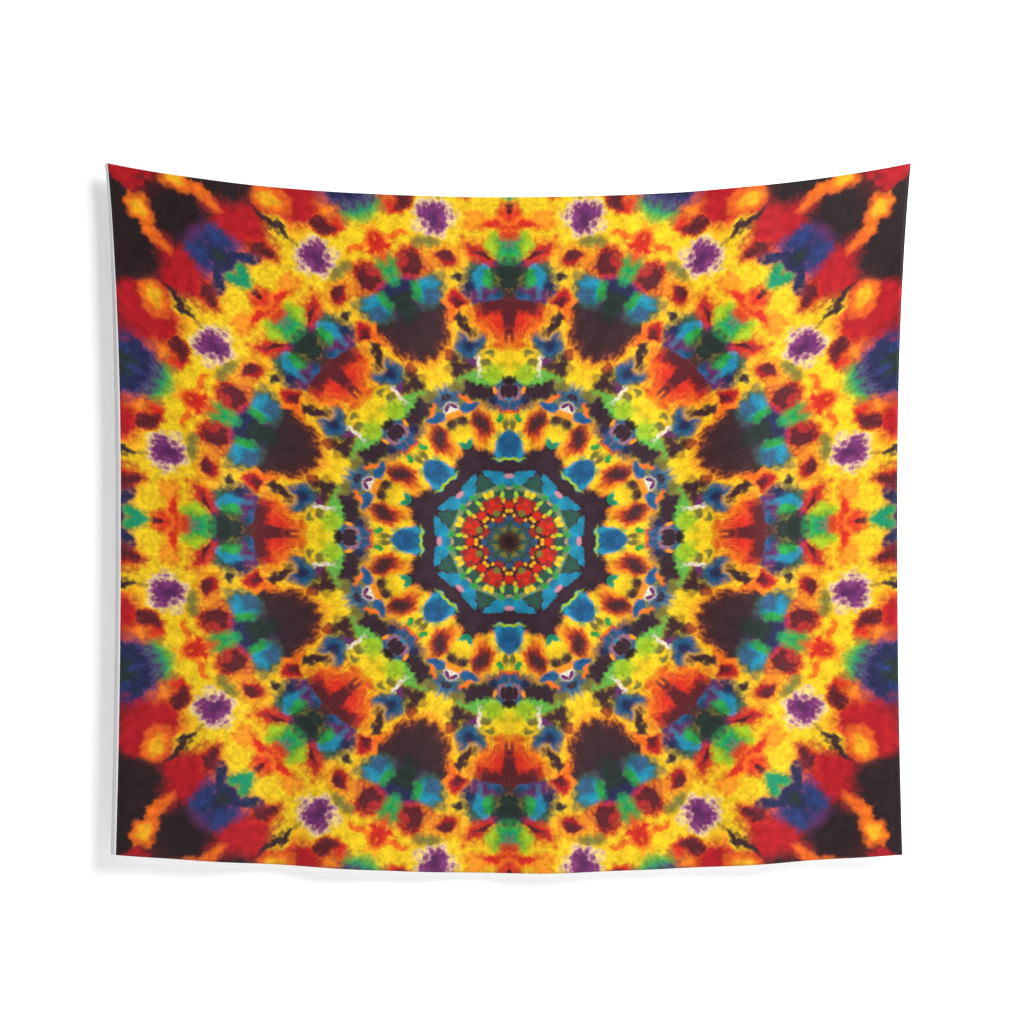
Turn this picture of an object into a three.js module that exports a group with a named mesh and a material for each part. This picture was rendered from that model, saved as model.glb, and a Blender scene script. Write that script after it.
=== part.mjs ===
// Tapestry wall hanging: a printed, hemmed cloth that hangs by two tape loops behind its top corners.
//
// Frame: millimetres. +X is to the right of someone who faces the print, +Y points to the wall, +Z is up.
// The origin lies midway between the two nail seats. The print faces -Y.

import * as THREE from 'three';

// ---- cloth ----------------------------------------------------------------
const CLOTH_WIDTH = 2032; // finished width, laid flat, fold to fold
const CLOTH_DROP = 1727; // finished drop, laid flat, fold to fold
const CLOTH_THICKNESS = 0.5;
const PRINT_MARGIN = 16; // white unprinted cloth along the left fold
const LAYER_GAP = 0.3; // clearance between touching layers

// ---- how the cloth hangs ----------------------------------------------------
const TOP_SAG = 85; // the top edge's middle below its corners
const BOTTOM_SAG = 48; // the bottom edge's middle below its corners
const WAIST_PULL = 34; // each side edge is drawn in at the waist
const WAIST_LEVEL = 0.53; // share of the drop where the waist lies
const HEM_RELEASE = 12; // each side edge eases out again at the bottom
const MARGIN_TURN_TOP = THREE.MathUtils.degToRad(68); // how far the margin turns to the wall at the top
const MARGIN_TURN_LOW = THREE.MathUtils.degToRad(34); // and from a third of the drop down
const MARGIN_BEND = 6; // length of cloth in the margin's bend
const FOLD_DEPTH = 8; // soft upright folds, middle to crest
const FINE_FOLD_DEPTH = 4;
const EDGE_STAND_OFF = 9; // the free side edges curl away from the wall
const LEAN_BACK = 7; // the middle rests nearer the wall than the corners

// ---- hems and their seams -----------------------------------------------------
const HEM_WIDTH = 24;
const HEM_THICKNESS = 1.0; // two more plies of the cloth
const SEAM_INSET = 3; // from the hem's inner edge to the line of stitches
const THREAD_WIDTH = 0.5;
const THREAD_THICKNESS = 0.4;

// ---- hanging loops ------------------------------------------------------------
const TAPE_WIDTH = 6;
const TAPE_THICKNESS = 0.6;
const LOOP_OPENING = 14; // clear width between the legs
const LOOP_INSET = 44; // from the print's corner to the middle of the loop
const LOOP_TOP_DROP = 7; // from the cloth's top edge down to the outside of the arch
const LOOP_STAND_OFF = 1.2; // from the hem's back to the front edge of the arch
const LOOP_ROOT_DROP = 2.5; // from the hem's inner edge down to the legs' ends
const LEG_BEND_SHARE = 0.75; // share of the leg that steps back from the hem, and that twists
const TACK_HEIGHT = 2;
const TACK_OVERHANG = 3; // the tack runs this far past each leg

// ---- label ----------------------------------------------------------------------
const LABEL_WIDTH = 42; // from the seam to the free edge
const LABEL_HEIGHT = 28;
const LABEL_THICKNESS = 0.4;
const LABEL_RISE = 190; // from the cloth's bottom edge up to the label's middle
const LABEL_EDGE_GAP = 1; // from the hem's inner edge to the label

// ---- finishes -------------------------------------------------------------------
const PRINT_COLOR = 0xd98a1e;
const HEM_COLOR = 0xf0eeea;
const THREAD_COLOR = 0xfafafa;
const TAPE_COLOR = 0xf4f2ee;
const LABEL_COLOR = 0xffffff;
const CLOTH_ROUGHNESS = 0.85;
const THREAD_ROUGHNESS = 0.6;
const TAPE_ROUGHNESS = 0.7;

// ---- mesh steps ---------------------------------------------------------------
const COLUMNS = 24;
const ROWS = 20;
const ARCH_STEPS = 9; // an odd number, so that one step lies flat on the nail
const LEG_STEPS = 5;

// ---- worked out from the sizes above ------------------------------------------
const halfSpan = (CLOTH_WIDTH - 8 * TOP_SAG ** 2 / (3 * CLOTH_WIDTH) - PRINT_MARGIN) / 2;
const loopX = halfSpan - LOOP_INSET;
const clothBackAtSeat = -TAPE_WIDTH / 2 - LOOP_STAND_OFF - HEM_THICKNESS - LAYER_GAP;
const cornerY = clothBackAtSeat - CLOTH_THICKNESS / 2; // middle of the cloth at its top corners
const archRadius = (LOOP_OPENING + TAPE_THICKNESS) / 2; // middle of the tape
const cornerZ = TAPE_THICKNESS + LOOP_TOP_DROP + topSag(1 - LOOP_INSET / halfSpan);
const seamOffset = HEM_WIDTH - SEAM_INSET;
const clothFront = -CLOTH_THICKNESS / 2;
const clothBack = CLOTH_THICKNESS / 2;
const hemFront = clothBack + LAYER_GAP;
const hemBack = hemFront + HEM_THICKNESS;

function lerp(a, b, share) {
  return a + (b - a) * share;
}

function smooth(share) {
  const x = THREE.MathUtils.clamp(share, 0, 1);
  return x * x * (3 - 2 * x);
}

// The top edge's height below the line of its corners; across runs from -1 to 1.
function topSag(across) {
  const square = across * across;
  return TOP_SAG * (1 - 0.8 * square - 0.2 * square * square);
}

// The bottom edge's sag: a soft, shallow V.
function bottomSag(across) {
  return BOTTOM_SAG * (1 - (across * across * 0.94 + 0.06) ** 0.7) / (1 - 0.06 ** 0.7);
}

// How far each side edge is drawn in, at a share of the drop.
function waist(down) {
  if (down < WAIST_LEVEL) {
    return WAIST_PULL * (1 - (1 - down / WAIST_LEVEL) ** 2.5);
  }
  return WAIST_PULL - HEM_RELEASE * ((down - WAIST_LEVEL) / (1 - WAIST_LEVEL)) ** 2;
}

// The depth of the hanging cloth: flat at the loops, with soft folds elsewhere.
function depth(across, down) {
  const fromCorner = ((1 - Math.abs(across)) / 0.2) ** 2 + (down / 0.12) ** 2;
  const free = 1 - Math.exp(-fromCorner * fromCorner);
  const growth = lerp(0.35, 1, smooth(down / 0.5));
  const folds = FOLD_DEPTH * Math.cos(2 * Math.PI * (2.1 * across + 0.14 + 0.1 * down));
  const fineFolds = FINE_FOLD_DEPTH * Math.cos(2 * Math.PI * (3.7 * across + 0.42 - 0.25 * down));
  const leftCurl = Math.exp(-(((1 + across) / 0.16) ** 2));
  const rightCurl = 0.4 * Math.exp(-(((1 - across) / 0.16) ** 2));
  const curl = EDGE_STAND_OFF * (leftCurl + rightCurl);
  const lean = LEAN_BACK * (1 - across * across) * smooth(down / 0.3);
  return cornerY + free * (growth * (folds + fineFolds) - curl + lean);
}

// A point of the printed cloth's middle surface.
function printPoint(across, down) {
  const x = across * (halfSpan - waist(down));
  const sideDrop = CLOTH_DROP + bottomSag(across);
  const z = cornerZ - lerp(topSag(across), sideDrop, down);
  return new THREE.Vector3(x, depth(across, down), z);
}

// A point of the cloth's middle surface, from flat distances: from the left fold and from the top fold.
function clothPoint(fromLeft, fromTop) {
  const down = fromTop / CLOTH_DROP;
  if (fromLeft >= PRINT_MARGIN) {
    const across = 2 * (fromLeft - PRINT_MARGIN) / (CLOTH_WIDTH - PRINT_MARGIN) - 1;
    return printPoint(across, down);
  }
  const turn = lerp(MARGIN_TURN_TOP, MARGIN_TURN_LOW, smooth(down / 0.35));
  const past = PRINT_MARGIN - fromLeft;
  const bent = Math.min(past, MARGIN_BEND);
  const straight = past - bent;
  const radius = MARGIN_BEND / turn;
  const angle = bent / radius;
  const point = printPoint(-1, down);
  point.x -= radius * Math.sin(angle) + straight * Math.cos(angle);
  point.y += radius * (1 - Math.cos(angle)) + straight * Math.sin(angle);
  return point;
}

// The cloth's unit normal, which points to the wall.
function clothNormal(fromLeft, fromTop) {
  const step = 0.5;
  const left = clothPoint(Math.max(fromLeft - step, 0), fromTop);
  const right = clothPoint(Math.min(fromLeft + step, CLOTH_WIDTH), fromTop);
  const above = clothPoint(fromLeft, Math.max(fromTop - step, 0));
  const below = clothPoint(fromLeft, Math.min(fromTop + step, CLOTH_DROP));
  return right.sub(left).cross(below.sub(above)).normalize();
}

// A point at a signed distance behind the cloth's middle surface.
function layerPoint(fromLeft, fromTop, behind) {
  const normal = clothNormal(fromLeft, fromTop);
  return clothPoint(fromLeft, fromTop).addScaledVector(normal, behind);
}

// Stations that all layers share, so that their facets lie parallel.
function stations(length, count, edgeStations) {
  const ends = edgeStations.map((edge) => length - edge);
  const first = edgeStations[edgeStations.length - 1];
  const middle = [];
  for (let i = 1; i < count; i += 1) {
    middle.push(lerp(first, length - first, i / count));
  }
  return [...edgeStations, ...middle, ...ends.reverse()];
}

const acrossStations = stations(CLOTH_WIDTH, COLUMNS, [
  0,
  PRINT_MARGIN - MARGIN_BEND,
  PRINT_MARGIN - MARGIN_BEND / 2,
  PRINT_MARGIN,
  HEM_WIDTH,
  HEM_WIDTH + LABEL_EDGE_GAP + LABEL_WIDTH,
]);
const downStations = stations(CLOTH_DROP, ROWS, [0, HEM_WIDTH, 3 * HEM_WIDTH]);

// Turns the diagonals of a box geometry's rear face, so that they lie behind those of its front face.
function alignDiagonals(geometry) {
  const index = geometry.getIndex();
  const rear = geometry.groups[5];
  for (let i = rear.start; i < rear.start + rear.count; i += 6) {
    const [a, b, c, d] = [0, 1, 4, 5].map((corner) => index.getX(i + corner));
    [a, b, c, a, c, d].forEach((vertex, corner) => index.setX(i + corner, vertex));
  }
}

// A box geometry whose grid is laid on the cloth: us and vs are flat distances, front and back offsets.
function layer(us, vs, front, back) {
  const geometry = new THREE.BoxGeometry(1, 1, 1, us.length - 1, vs.length - 1, 1);
  const position = geometry.getAttribute('position');
  for (let i = 0; i < position.count; i += 1) {
    const u = us[Math.round((position.getX(i) + 0.5) * (us.length - 1))];
    const v = vs[Math.round((0.5 - position.getY(i)) * (vs.length - 1))];
    const point = layerPoint(u, v, position.getZ(i) > 0 ? front : back);
    position.setXYZ(i, point.x, point.y, point.z);
  }
  alignDiagonals(geometry);
  return geometry;
}

// The stations from one distance to another, with both ends put in.
function between(all, from, to) {
  const inside = all.filter((station) => station > from + 0.01 && station < to - 0.01);
  return [from, ...inside, to];
}

// A band of tape: a rectangle carried along the steps' centres, with its width along each step's width.
function tapeBand(steps) {
  const last = steps.length - 1;
  const geometry = new THREE.BoxGeometry(1, 1, 1, 1, last, 1);
  const position = geometry.getAttribute('position');
  for (let i = 0; i < position.count; i += 1) {
    const step = Math.round((position.getY(i) + 0.5) * last);
    const before = steps[Math.max(step - 1, 0)].centre;
    const after = steps[Math.min(step + 1, last)].centre;
    const along = after.clone().sub(before).normalize();
    const width = steps[step].width.clone();
    width.addScaledVector(along, -width.dot(along)).normalize();
    const thickness = width.clone().cross(along).normalize();
    const point = steps[step].centre.clone();
    point.addScaledVector(width, position.getX(i) * TAPE_WIDTH);
    point.addScaledVector(thickness, position.getZ(i) * TAPE_THICKNESS);
    position.setXYZ(i, point.x, point.y, point.z);
  }
  return geometry;
}

function addMesh(group, name, geometry, color, roughness) {
  const material = new THREE.MeshStandardMaterial({ color, roughness, metalness: 0 });
  const mesh = new THREE.Mesh(geometry, material);
  mesh.name = name;
  group.add(mesh);
}

// The flat distance from the left fold to the cloth that lies at x, near the top edge.
function flatFromX(x) {
  const across = x / (halfSpan - waist(HEM_WIDTH / CLOTH_DROP));
  return PRINT_MARGIN + (across + 1) / 2 * (CLOTH_WIDTH - PRINT_MARGIN);
}

// The end of one leg: just below the hem's inner edge, where the tape is caught. It clears the seam and the tack.
function legRoot(x) {
  const edge = layerPoint(flatFromX(x), HEM_WIDTH, hemBack);
  const clear = 2 * LAYER_GAP + THREAD_THICKNESS + TAPE_THICKNESS / 2;
  return new THREE.Vector3(x, edge.y + clear, edge.z - LOOP_ROOT_DROP);
}

// One leg of a loop, from its root to the arch. The flat tape twists a quarter turn on the way.
function loopLeg(x) {
  const root = legRoot(x);
  const head = new THREE.Vector3(x, 0, -LOOP_OPENING / 2);
  const steps = [];
  for (let i = 0; i <= LEG_STEPS; i += 1) {
    const share = i / LEG_STEPS;
    const centre = root.clone().lerp(head, share);
    centre.y = lerp(root.y, 0, smooth(share / LEG_BEND_SHARE));
    const twist = smooth((share - 1 + LEG_BEND_SHARE) / LEG_BEND_SHARE);
    const width = new THREE.Vector3(Math.cos(twist * Math.PI / 2), Math.sin(twist * Math.PI / 2), 0);
    steps.push({ centre, width });
  }
  return steps;
}

// The arch over the nail, from the left leg to the right one, between the legs' heads.
function loopArch(middle) {
  const steps = [];
  const corner = archRadius / Math.cos(Math.PI / (2 * ARCH_STEPS));
  for (let i = 1; i < ARCH_STEPS; i += 1) {
    const angle = Math.PI * (1 - i / ARCH_STEPS);
    const x = middle + corner * Math.cos(angle);
    const z = -LOOP_OPENING / 2 + corner * Math.sin(angle);
    steps.push({ centre: new THREE.Vector3(x, 0, z), width: new THREE.Vector3(0, 1, 0) });
  }
  return steps;
}

// One hanging loop: two legs and the arch between them, in one band of tape.
function hangingLoop(side) {
  const middle = side * loopX;
  const legs = [loopLeg(middle - archRadius), loopLeg(middle + archRadius)];
  return tapeBand([...legs[0], ...loopArch(middle), ...legs[1].reverse()]);
}

// The bar tack across a loop's two ends, on the back of the top hem.
function loopTack(side) {
  const reach = archRadius + TAPE_WIDTH / 2 + TACK_OVERHANG;
  const us = [-reach, 0, reach].map((offset) => flatFromX(side * loopX + offset));
  const low = HEM_WIDTH - LAYER_GAP;
  const back = hemBack + LAYER_GAP;
  return layer(between(acrossStations, us[0], us[2]), [low - TACK_HEIGHT, low], back, back + THREAD_THICKNESS);
}

// The four hems: the top and bottom ones run the full width, and the side ones fit between them.
function addHems(group) {
  const low = CLOTH_DROP - HEM_WIDTH;
  const side = CLOTH_WIDTH - HEM_WIDTH;
  const upright = between(downStations, HEM_WIDTH + LAYER_GAP, low - LAYER_GAP);
  const hems = {
    hem_top: [acrossStations, [0, HEM_WIDTH]],
    hem_bottom: [acrossStations, [low, CLOTH_DROP]],
    hem_left: [between(acrossStations, 0, HEM_WIDTH), upright],
    hem_right: [between(acrossStations, side, CLOTH_WIDTH), upright],
  };
  for (const [name, [us, vs]] of Object.entries(hems)) {
    addMesh(group, name, layer(us, vs, hemFront, hemBack), HEM_COLOR, CLOTH_ROUGHNESS);
  }
}

// One seam's line of thread. Runs are the flat distances that it covers across and down.
function addSeam(group, name, us, vs) {
  const front = clothFront - LAYER_GAP;
  const back = hemBack + LAYER_GAP;
  const needle = layer(us, vs, front - THREAD_THICKNESS, front);
  const bobbin = layer(us, vs, back, back + THREAD_THICKNESS);
  addMesh(group, `needle_thread_${name}`, needle, THREAD_COLOR, THREAD_ROUGHNESS);
  addMesh(group, `bobbin_thread_${name}`, bobbin, THREAD_COLOR, THREAD_ROUGHNESS);
}

// The four hem seams. The side seams start clear of the top and bottom ones.
function addSeams(group) {
  const half = THREAD_WIDTH / 2;
  const low = CLOTH_DROP - seamOffset;
  const right = CLOTH_WIDTH - seamOffset;
  const start = seamOffset + half + LAYER_GAP;
  const along = between(acrossStations, seamOffset, right);
  const upright = between(downStations, start, CLOTH_DROP - start);
  addSeam(group, 'top', along, [seamOffset - half, seamOffset + half]);
  addSeam(group, 'bottom', along, [low - half, low + half]);
  addSeam(group, 'left', [seamOffset - half, seamOffset + half], upright);
  addSeam(group, 'right', [right - half, right + half], upright);
}

// The label: a flat upright plate behind the cloth, which leaves the left hem's inner edge.
function careLabel() {
  const level = CLOTH_DROP - LABEL_RISE;
  const root = layerPoint(HEM_WIDTH + LABEL_EDGE_GAP, level, hemBack);
  const tip = layerPoint(HEM_WIDTH + LABEL_EDGE_GAP + LABEL_WIDTH, level, hemBack);
  const geometry = new THREE.BoxGeometry(LABEL_WIDTH, LABEL_THICKNESS, LABEL_HEIGHT);
  geometry.translate(LABEL_WIDTH / 2, 0, 0);
  geometry.rotateZ(Math.atan2(tip.y - root.y, tip.x - root.x));
  geometry.translate(root.x, root.y, root.z);
  return geometry;
}

const tapestry = new THREE.Group();
const panel = layer(acrossStations, downStations, clothFront, clothBack);
addMesh(tapestry, 'printed_panel', panel, PRINT_COLOR, CLOTH_ROUGHNESS);
addHems(tapestry);
addSeams(tapestry);
for (const [name, side] of [['left', -1], ['right', 1]]) {
  addMesh(tapestry, `hanging_loop_${name}`, hangingLoop(side), TAPE_COLOR, TAPE_ROUGHNESS);
  addMesh(tapestry, `loop_tack_${name}`, loopTack(side), THREAD_COLOR, THREAD_ROUGHNESS);
}
addMesh(tapestry, 'care_label', careLabel(), LABEL_COLOR, TAPE_ROUGHNESS);

export default tapestry;
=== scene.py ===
"""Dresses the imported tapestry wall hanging: a printed cloth, its hems, seams, hanging loops and label.

Everything is in metres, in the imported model's frame: +X to the right of someone who faces the print,
+Y to the wall, +Z up, with the origin midway between the two nail seats.
"""

from __future__ import annotations

import logging
import math
from dataclasses import dataclass, field
from enum import Enum
from itertools import chain

import bmesh
import bpy
import numpy as np
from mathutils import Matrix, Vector

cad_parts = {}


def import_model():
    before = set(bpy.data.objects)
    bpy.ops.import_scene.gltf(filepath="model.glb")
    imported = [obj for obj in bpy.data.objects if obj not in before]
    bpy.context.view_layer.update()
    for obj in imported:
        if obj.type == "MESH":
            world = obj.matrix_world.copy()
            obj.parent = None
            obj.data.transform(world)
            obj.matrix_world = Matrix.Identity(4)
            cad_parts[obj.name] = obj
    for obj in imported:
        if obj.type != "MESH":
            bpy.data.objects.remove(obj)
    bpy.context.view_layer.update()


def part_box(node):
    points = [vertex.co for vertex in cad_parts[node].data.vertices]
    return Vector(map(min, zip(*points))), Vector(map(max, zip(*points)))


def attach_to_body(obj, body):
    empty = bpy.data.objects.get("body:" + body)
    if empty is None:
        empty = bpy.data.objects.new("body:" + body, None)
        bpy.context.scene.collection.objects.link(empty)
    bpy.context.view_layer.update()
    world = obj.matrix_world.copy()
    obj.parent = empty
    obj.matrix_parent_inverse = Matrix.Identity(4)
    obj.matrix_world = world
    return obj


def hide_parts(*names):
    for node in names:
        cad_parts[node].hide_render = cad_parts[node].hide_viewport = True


LOG = logging.getLogger("tapestry")
MM = 0.001
FLAT_PLACE = "flat_place"  # mesh attribute: flat cloth millimetres, from the left fold and down from the top
WORN_TINT = (0.94, 0.94, 0.95, 1.0)
GAP_TONE = 0.82  # the shade between crossing threads
ROUGHNESS_SPREAD = 0.16
CREASE_DEPTH = 0.6 * MM
GRAIN_TONE = 0.01  # the studio surfaces' slight grain


def smooth(share: np.ndarray) -> np.ndarray:
    """Eases a share from 0 to 1."""
    x = np.clip(share, 0.0, 1.0)
    return x * x * (3.0 - 2.0 * x)


def lerp(a: float, b: float, share: np.ndarray) -> np.ndarray:
    """Goes from a to b by a share."""
    return a + (b - a) * share


def linear(colour: tuple[float, float, float]) -> tuple[float, float, float, float]:
    """Turns a screen colour of 0 to 255 into the linear colour that a shader takes."""
    parts = []
    for part in colour:
        x = part / 255.0
        parts.append(x / 12.92 if x <= 0.04045 else ((x + 0.055) / 1.055) ** 2.4)
    return (*parts, 1.0)


def grey(tone: float) -> tuple[float, float, float, float]:
    """A linear grey."""
    return (tone, tone, tone, 1.0)


def flat_millimetres(us: np.ndarray, vs: np.ndarray) -> np.ndarray:
    """One row of flat cloth millimetres for each vertex, from flat distances in metres."""
    return np.stack([us, vs, np.zeros_like(us)], axis=-1).reshape(-1, 3) / MM


# ---- the cloth's shape ----------------------------------------------------------------------------


@dataclass(frozen=True)
class ClothShape:
    """The hanging cloth's middle surface, as a function of flat distances in metres."""

    half_span: float  # from the print's centre line to its top corners
    corner_height: float
    width: float = 2.032
    drop: float = 1.727
    thickness: float = 0.0005
    layer_gap: float = 0.0003
    print_margin: float = 0.016
    margin_bend: float = 0.006
    margin_turn_top: float = math.radians(68.0)
    margin_turn_low: float = math.radians(34.0)
    top_sag: float = 0.085
    bottom_sag: float = 0.048
    waist_pull: float = 0.034
    waist_level: float = 0.53
    hem_release: float = 0.012
    fold_depth: float = 0.008
    fine_fold_depth: float = 0.004
    edge_stand_off: float = 0.009
    lean_back: float = 0.007
    hem_width: float = 0.024
    hem_thickness: float = 0.001
    seam_inset: float = 0.003
    loop_stand_off: float = 0.0012
    tape_width: float = 0.006
    ripple_depth: float = 0.0007
    bottom_round: float = 0.06  # how blunt the bottom edge's shallow V is
    bottom_power: float = 0.7
    calm_across: float = 0.2  # the cloth stays flat this near a loop, as shares of half span and drop
    calm_down: float = 0.12
    folds: tuple[float, float, float] = (2.1, 0.14, 0.1)  # waves to a half span, phase and slant
    fine_folds: tuple[float, float, float] = (3.7, 0.42, -0.25)
    curl_reach: float = 0.16  # how far in the side edges curl, as a share of the half span
    right_curl_share: float = 0.4

    @property
    def corner_depth(self) -> float:
        """The depth of the cloth's middle at its top corners."""
        layers = self.hem_thickness + self.layer_gap + self.thickness / 2.0
        return -self.tape_width / 2.0 - self.loop_stand_off - layers

    @property
    def seam_offset(self) -> float:
        """From a fold to its line of stitches."""
        return self.hem_width - self.seam_inset

    @property
    def hem_front(self) -> float:
        """The hem's near face, behind the cloth's middle."""
        return self.thickness / 2.0 + self.layer_gap

    @property
    def hem_back(self) -> float:
        """The hem's far face, behind the cloth's middle."""
        return self.hem_front + self.hem_thickness

    def top_drop(self, across: np.ndarray) -> np.ndarray:
        """The top edge's height below its corners."""
        square = across * across
        return self.top_sag * (1.0 - 0.8 * square - 0.2 * square * square)

    def bottom_drop(self, across: np.ndarray) -> np.ndarray:
        """The bottom edge's height below its corners, a soft, shallow V."""
        blunt, power = self.bottom_round, self.bottom_power
        rise = (across * across * (1.0 - blunt) + blunt) ** power
        return self.bottom_sag * (1.0 - rise) / (1.0 - blunt**power)

    def waist(self, down: np.ndarray) -> np.ndarray:
        """How far each side edge is drawn in."""
        above = np.clip(1.0 - down / self.waist_level, 0.0, 1.0)
        below = np.clip((down - self.waist_level) / (1.0 - self.waist_level), 0.0, 1.0)
        return self.waist_pull * (1.0 - above**2.5) - self.hem_release * below**2

    def ripple(self, across: np.ndarray, down: np.ndarray) -> np.ndarray:
        """Slight creases of a cloth that was folded and has hung out; their waves never fall in step."""
        small = np.sin(31.0 * across + 5.0 * np.sin(7.0 * down)) * np.sin(23.0 * down + 4.0 * across)
        smaller = np.sin(67.0 * across - 11.0 * down + 3.0 * np.sin(19.0 * down + 2.0))
        return self.ripple_depth * (small + 0.5 * smaller * np.sin(41.0 * down + 9.0 * across))

    @staticmethod
    def wave(across: np.ndarray, down: np.ndarray, plan: tuple[float, float, float]) -> np.ndarray:
        """A row of upright folds, from their count to a half span, their phase and their slant."""
        count, phase, slant = plan
        return np.cos(2.0 * math.pi * (count * across + phase + slant * down))

    def depth(self, across: np.ndarray, down: np.ndarray) -> np.ndarray:
        """The cloth's depth: flat at the loops, with soft folds elsewhere."""
        from_corner = ((1.0 - np.abs(across)) / self.calm_across) ** 2 + (down / self.calm_down) ** 2
        free = 1.0 - np.exp(-(from_corner**2))
        growth = lerp(0.35, 1.0, smooth(down / 0.5))
        folds = self.fold_depth * self.wave(across, down, self.folds)
        fine = self.fine_fold_depth * self.wave(across, down, self.fine_folds)
        left_curl = np.exp(-(((1.0 + across) / self.curl_reach) ** 2))
        right_curl = self.right_curl_share * np.exp(-(((1.0 - across) / self.curl_reach) ** 2))
        curl = self.edge_stand_off * (left_curl + right_curl)
        lean = self.lean_back * (1.0 - across * across) * smooth(down / 0.3)
        swell = growth * (folds + fine) - curl + lean + self.ripple(across, down)
        return self.corner_depth + free * swell

    def points(self, from_left: np.ndarray, from_top: np.ndarray) -> np.ndarray:
        """Places flat points of the cloth in space.

        Args:
            from_left: flat distances from the left fold.
            from_top: flat distances from the top fold, of the same shape.

        Returns:
            An array with one more axis, of x, y and z.
        """
        down = from_top / self.drop
        printed = np.maximum(from_left, self.print_margin)
        across = 2.0 * (printed - self.print_margin) / (self.width - self.print_margin) - 1.0
        x = across * (self.half_span - self.waist(down))
        y = self.depth(across, down)
        side_drop = self.drop + self.bottom_drop(across)
        z = self.corner_height - lerp(self.top_drop(across), side_drop, down)
        turn = lerp(self.margin_turn_top, self.margin_turn_low, smooth(down / 0.35))
        past = np.maximum(self.print_margin - from_left, 0.0)
        bent = np.minimum(past, self.margin_bend)
        radius = self.margin_bend / turn
        angle = bent / radius
        x = x - radius * np.sin(angle) - (past - bent) * np.cos(angle)
        y = y + radius * (1.0 - np.cos(angle)) + (past - bent) * np.sin(angle)
        return np.stack([x, y, z], axis=-1)

    def normals(self, from_left: np.ndarray, from_top: np.ndarray) -> np.ndarray:
        """The cloth's unit normals at flat points, which point to the wall."""
        step = 0.5 * MM
        left = self.points(np.maximum(from_left - step, 0.0), from_top)
        right = self.points(np.minimum(from_left + step, self.width), from_top)
        above = self.points(from_left, np.maximum(from_top - step, 0.0))
        below = self.points(from_left, np.minimum(from_top + step, self.drop))
        normal = np.cross(right - left, below - above)
        return normal / np.linalg.norm(normal, axis=-1, keepdims=True)

    def layer(self, from_left: np.ndarray, from_top: np.ndarray, behind: np.ndarray) -> np.ndarray:
        """Places flat points at a signed distance behind the cloth's middle surface."""
        us, vs = np.broadcast_arrays(np.asarray(from_left, float), np.asarray(from_top, float))
        offset = np.broadcast_to(np.asarray(behind, float), us.shape)[..., None]
        return self.points(us, vs) + offset * self.normals(us, vs)

    def flat_from_x(self, x: float) -> float:
        """The flat distance from the left fold to the cloth that lies at x, near the top edge."""
        reach = self.half_span - float(self.waist(np.asarray(self.hem_width / self.drop)))
        return self.print_margin + (x / reach + 1.0) / 2.0 * (self.width - self.print_margin)


# ---- mesh making ------------------------------------------------------------------------------------


def turn_outward(mesh: bpy.types.Mesh) -> None:
    """Turns a closed mesh's faces round where they look into it."""
    solid = bmesh.new()
    solid.from_mesh(mesh)
    if solid.calc_volume(signed=True) < 0.0:
        mesh.flip_normals()
    solid.free()


def make_piece(
    name: str,
    vertices: np.ndarray,
    faces: list[tuple[int, ...]],
    materials: list[bpy.types.Material],
    face_materials: list[int] | None = None,
    flat_places: np.ndarray | None = None,
    closed: bool = True,
) -> bpy.types.Object:
    """Makes a smooth-shaded mesh piece.

    Args:
        name: the piece's name.
        vertices: the points, in metres.
        faces: vertex numbers of each face.
        materials: the finishes, in slot order.
        face_materials: the slot of each face, or None for the first.
        flat_places: flat cloth millimetres of each vertex, or None.
        closed: whether the mesh closes on itself, so that its faces are turned to look outward.

    Returns:
        The new object, linked to the scene.
    """
    mesh = bpy.data.meshes.new(name)
    mesh.from_pydata([tuple(point) for point in vertices], [], faces)
    for material in materials:
        mesh.materials.append(material)
    if face_materials is not None:
        mesh.polygons.foreach_set("material_index", face_materials)
    mesh.polygons.foreach_set("use_smooth", [True] * len(mesh.polygons))
    if flat_places is not None:
        attribute = mesh.attributes.new(FLAT_PLACE, "FLOAT_VECTOR", "POINT")
        attribute.data.foreach_set("vector", flat_places.astype(np.float32).ravel())
    mesh.update()
    if closed:
        turn_outward(mesh)
    piece = bpy.data.objects.new(name, mesh)
    bpy.context.scene.collection.objects.link(piece)
    return piece


def grid_faces(rows: int, columns: int, first: int, flip: bool) -> list[tuple[int, ...]]:
    """The quads of a grid of vertices that starts at a vertex number, facing either way."""
    faces = []
    for row in range(rows - 1):
        for column in range(columns - 1):
            a = first + row * columns + column
            quad = (a, a + columns, a + columns + 1, a + 1)
            faces.append(quad[::-1] if flip else quad)
    return faces


def rim_faces(rows: int, columns: int, back: int) -> list[tuple[int, ...]]:
    """The faces that join a front grid, which starts at 0, to a back grid, which starts at back."""
    top = list(range(columns))
    right = [row * columns + columns - 1 for row in range(1, rows)]
    bottom = [(rows - 1) * columns + column for column in range(columns - 2, -1, -1)]
    left = [row * columns for row in range(rows - 2, 0, -1)]
    loop = top + right + bottom + left
    faces = []
    for here, there in zip(loop, loop[1:] + loop[:1]):
        faces.append((here, there, there + back, here + back))
    return faces


def sweep(rings: np.ndarray) -> tuple[np.ndarray, list[tuple[int, ...]]]:
    """Joins rings of points, one after another, into a closed rod with flat ends.

    Args:
        rings: points, by ring, by place on the ring, by x, y and z.

    Returns:
        The vertices and the faces.
    """
    count, sides, _ = rings.shape
    faces: list[tuple[int, ...]] = []
    for ring in range(count - 1):
        for side in range(sides):
            a = ring * sides + side
            b = ring * sides + (side + 1) % sides
            faces.append((a, b, b + sides, a + sides))
    faces.append(tuple(range(sides))[::-1])
    faces.append(tuple((count - 1) * sides + side for side in range(sides)))
    return rings.reshape(-1, 3), faces


def unit(vectors: np.ndarray) -> np.ndarray:
    """Scales each vector to a length of 1."""
    return vectors / np.linalg.norm(vectors, axis=-1, keepdims=True)


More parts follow.
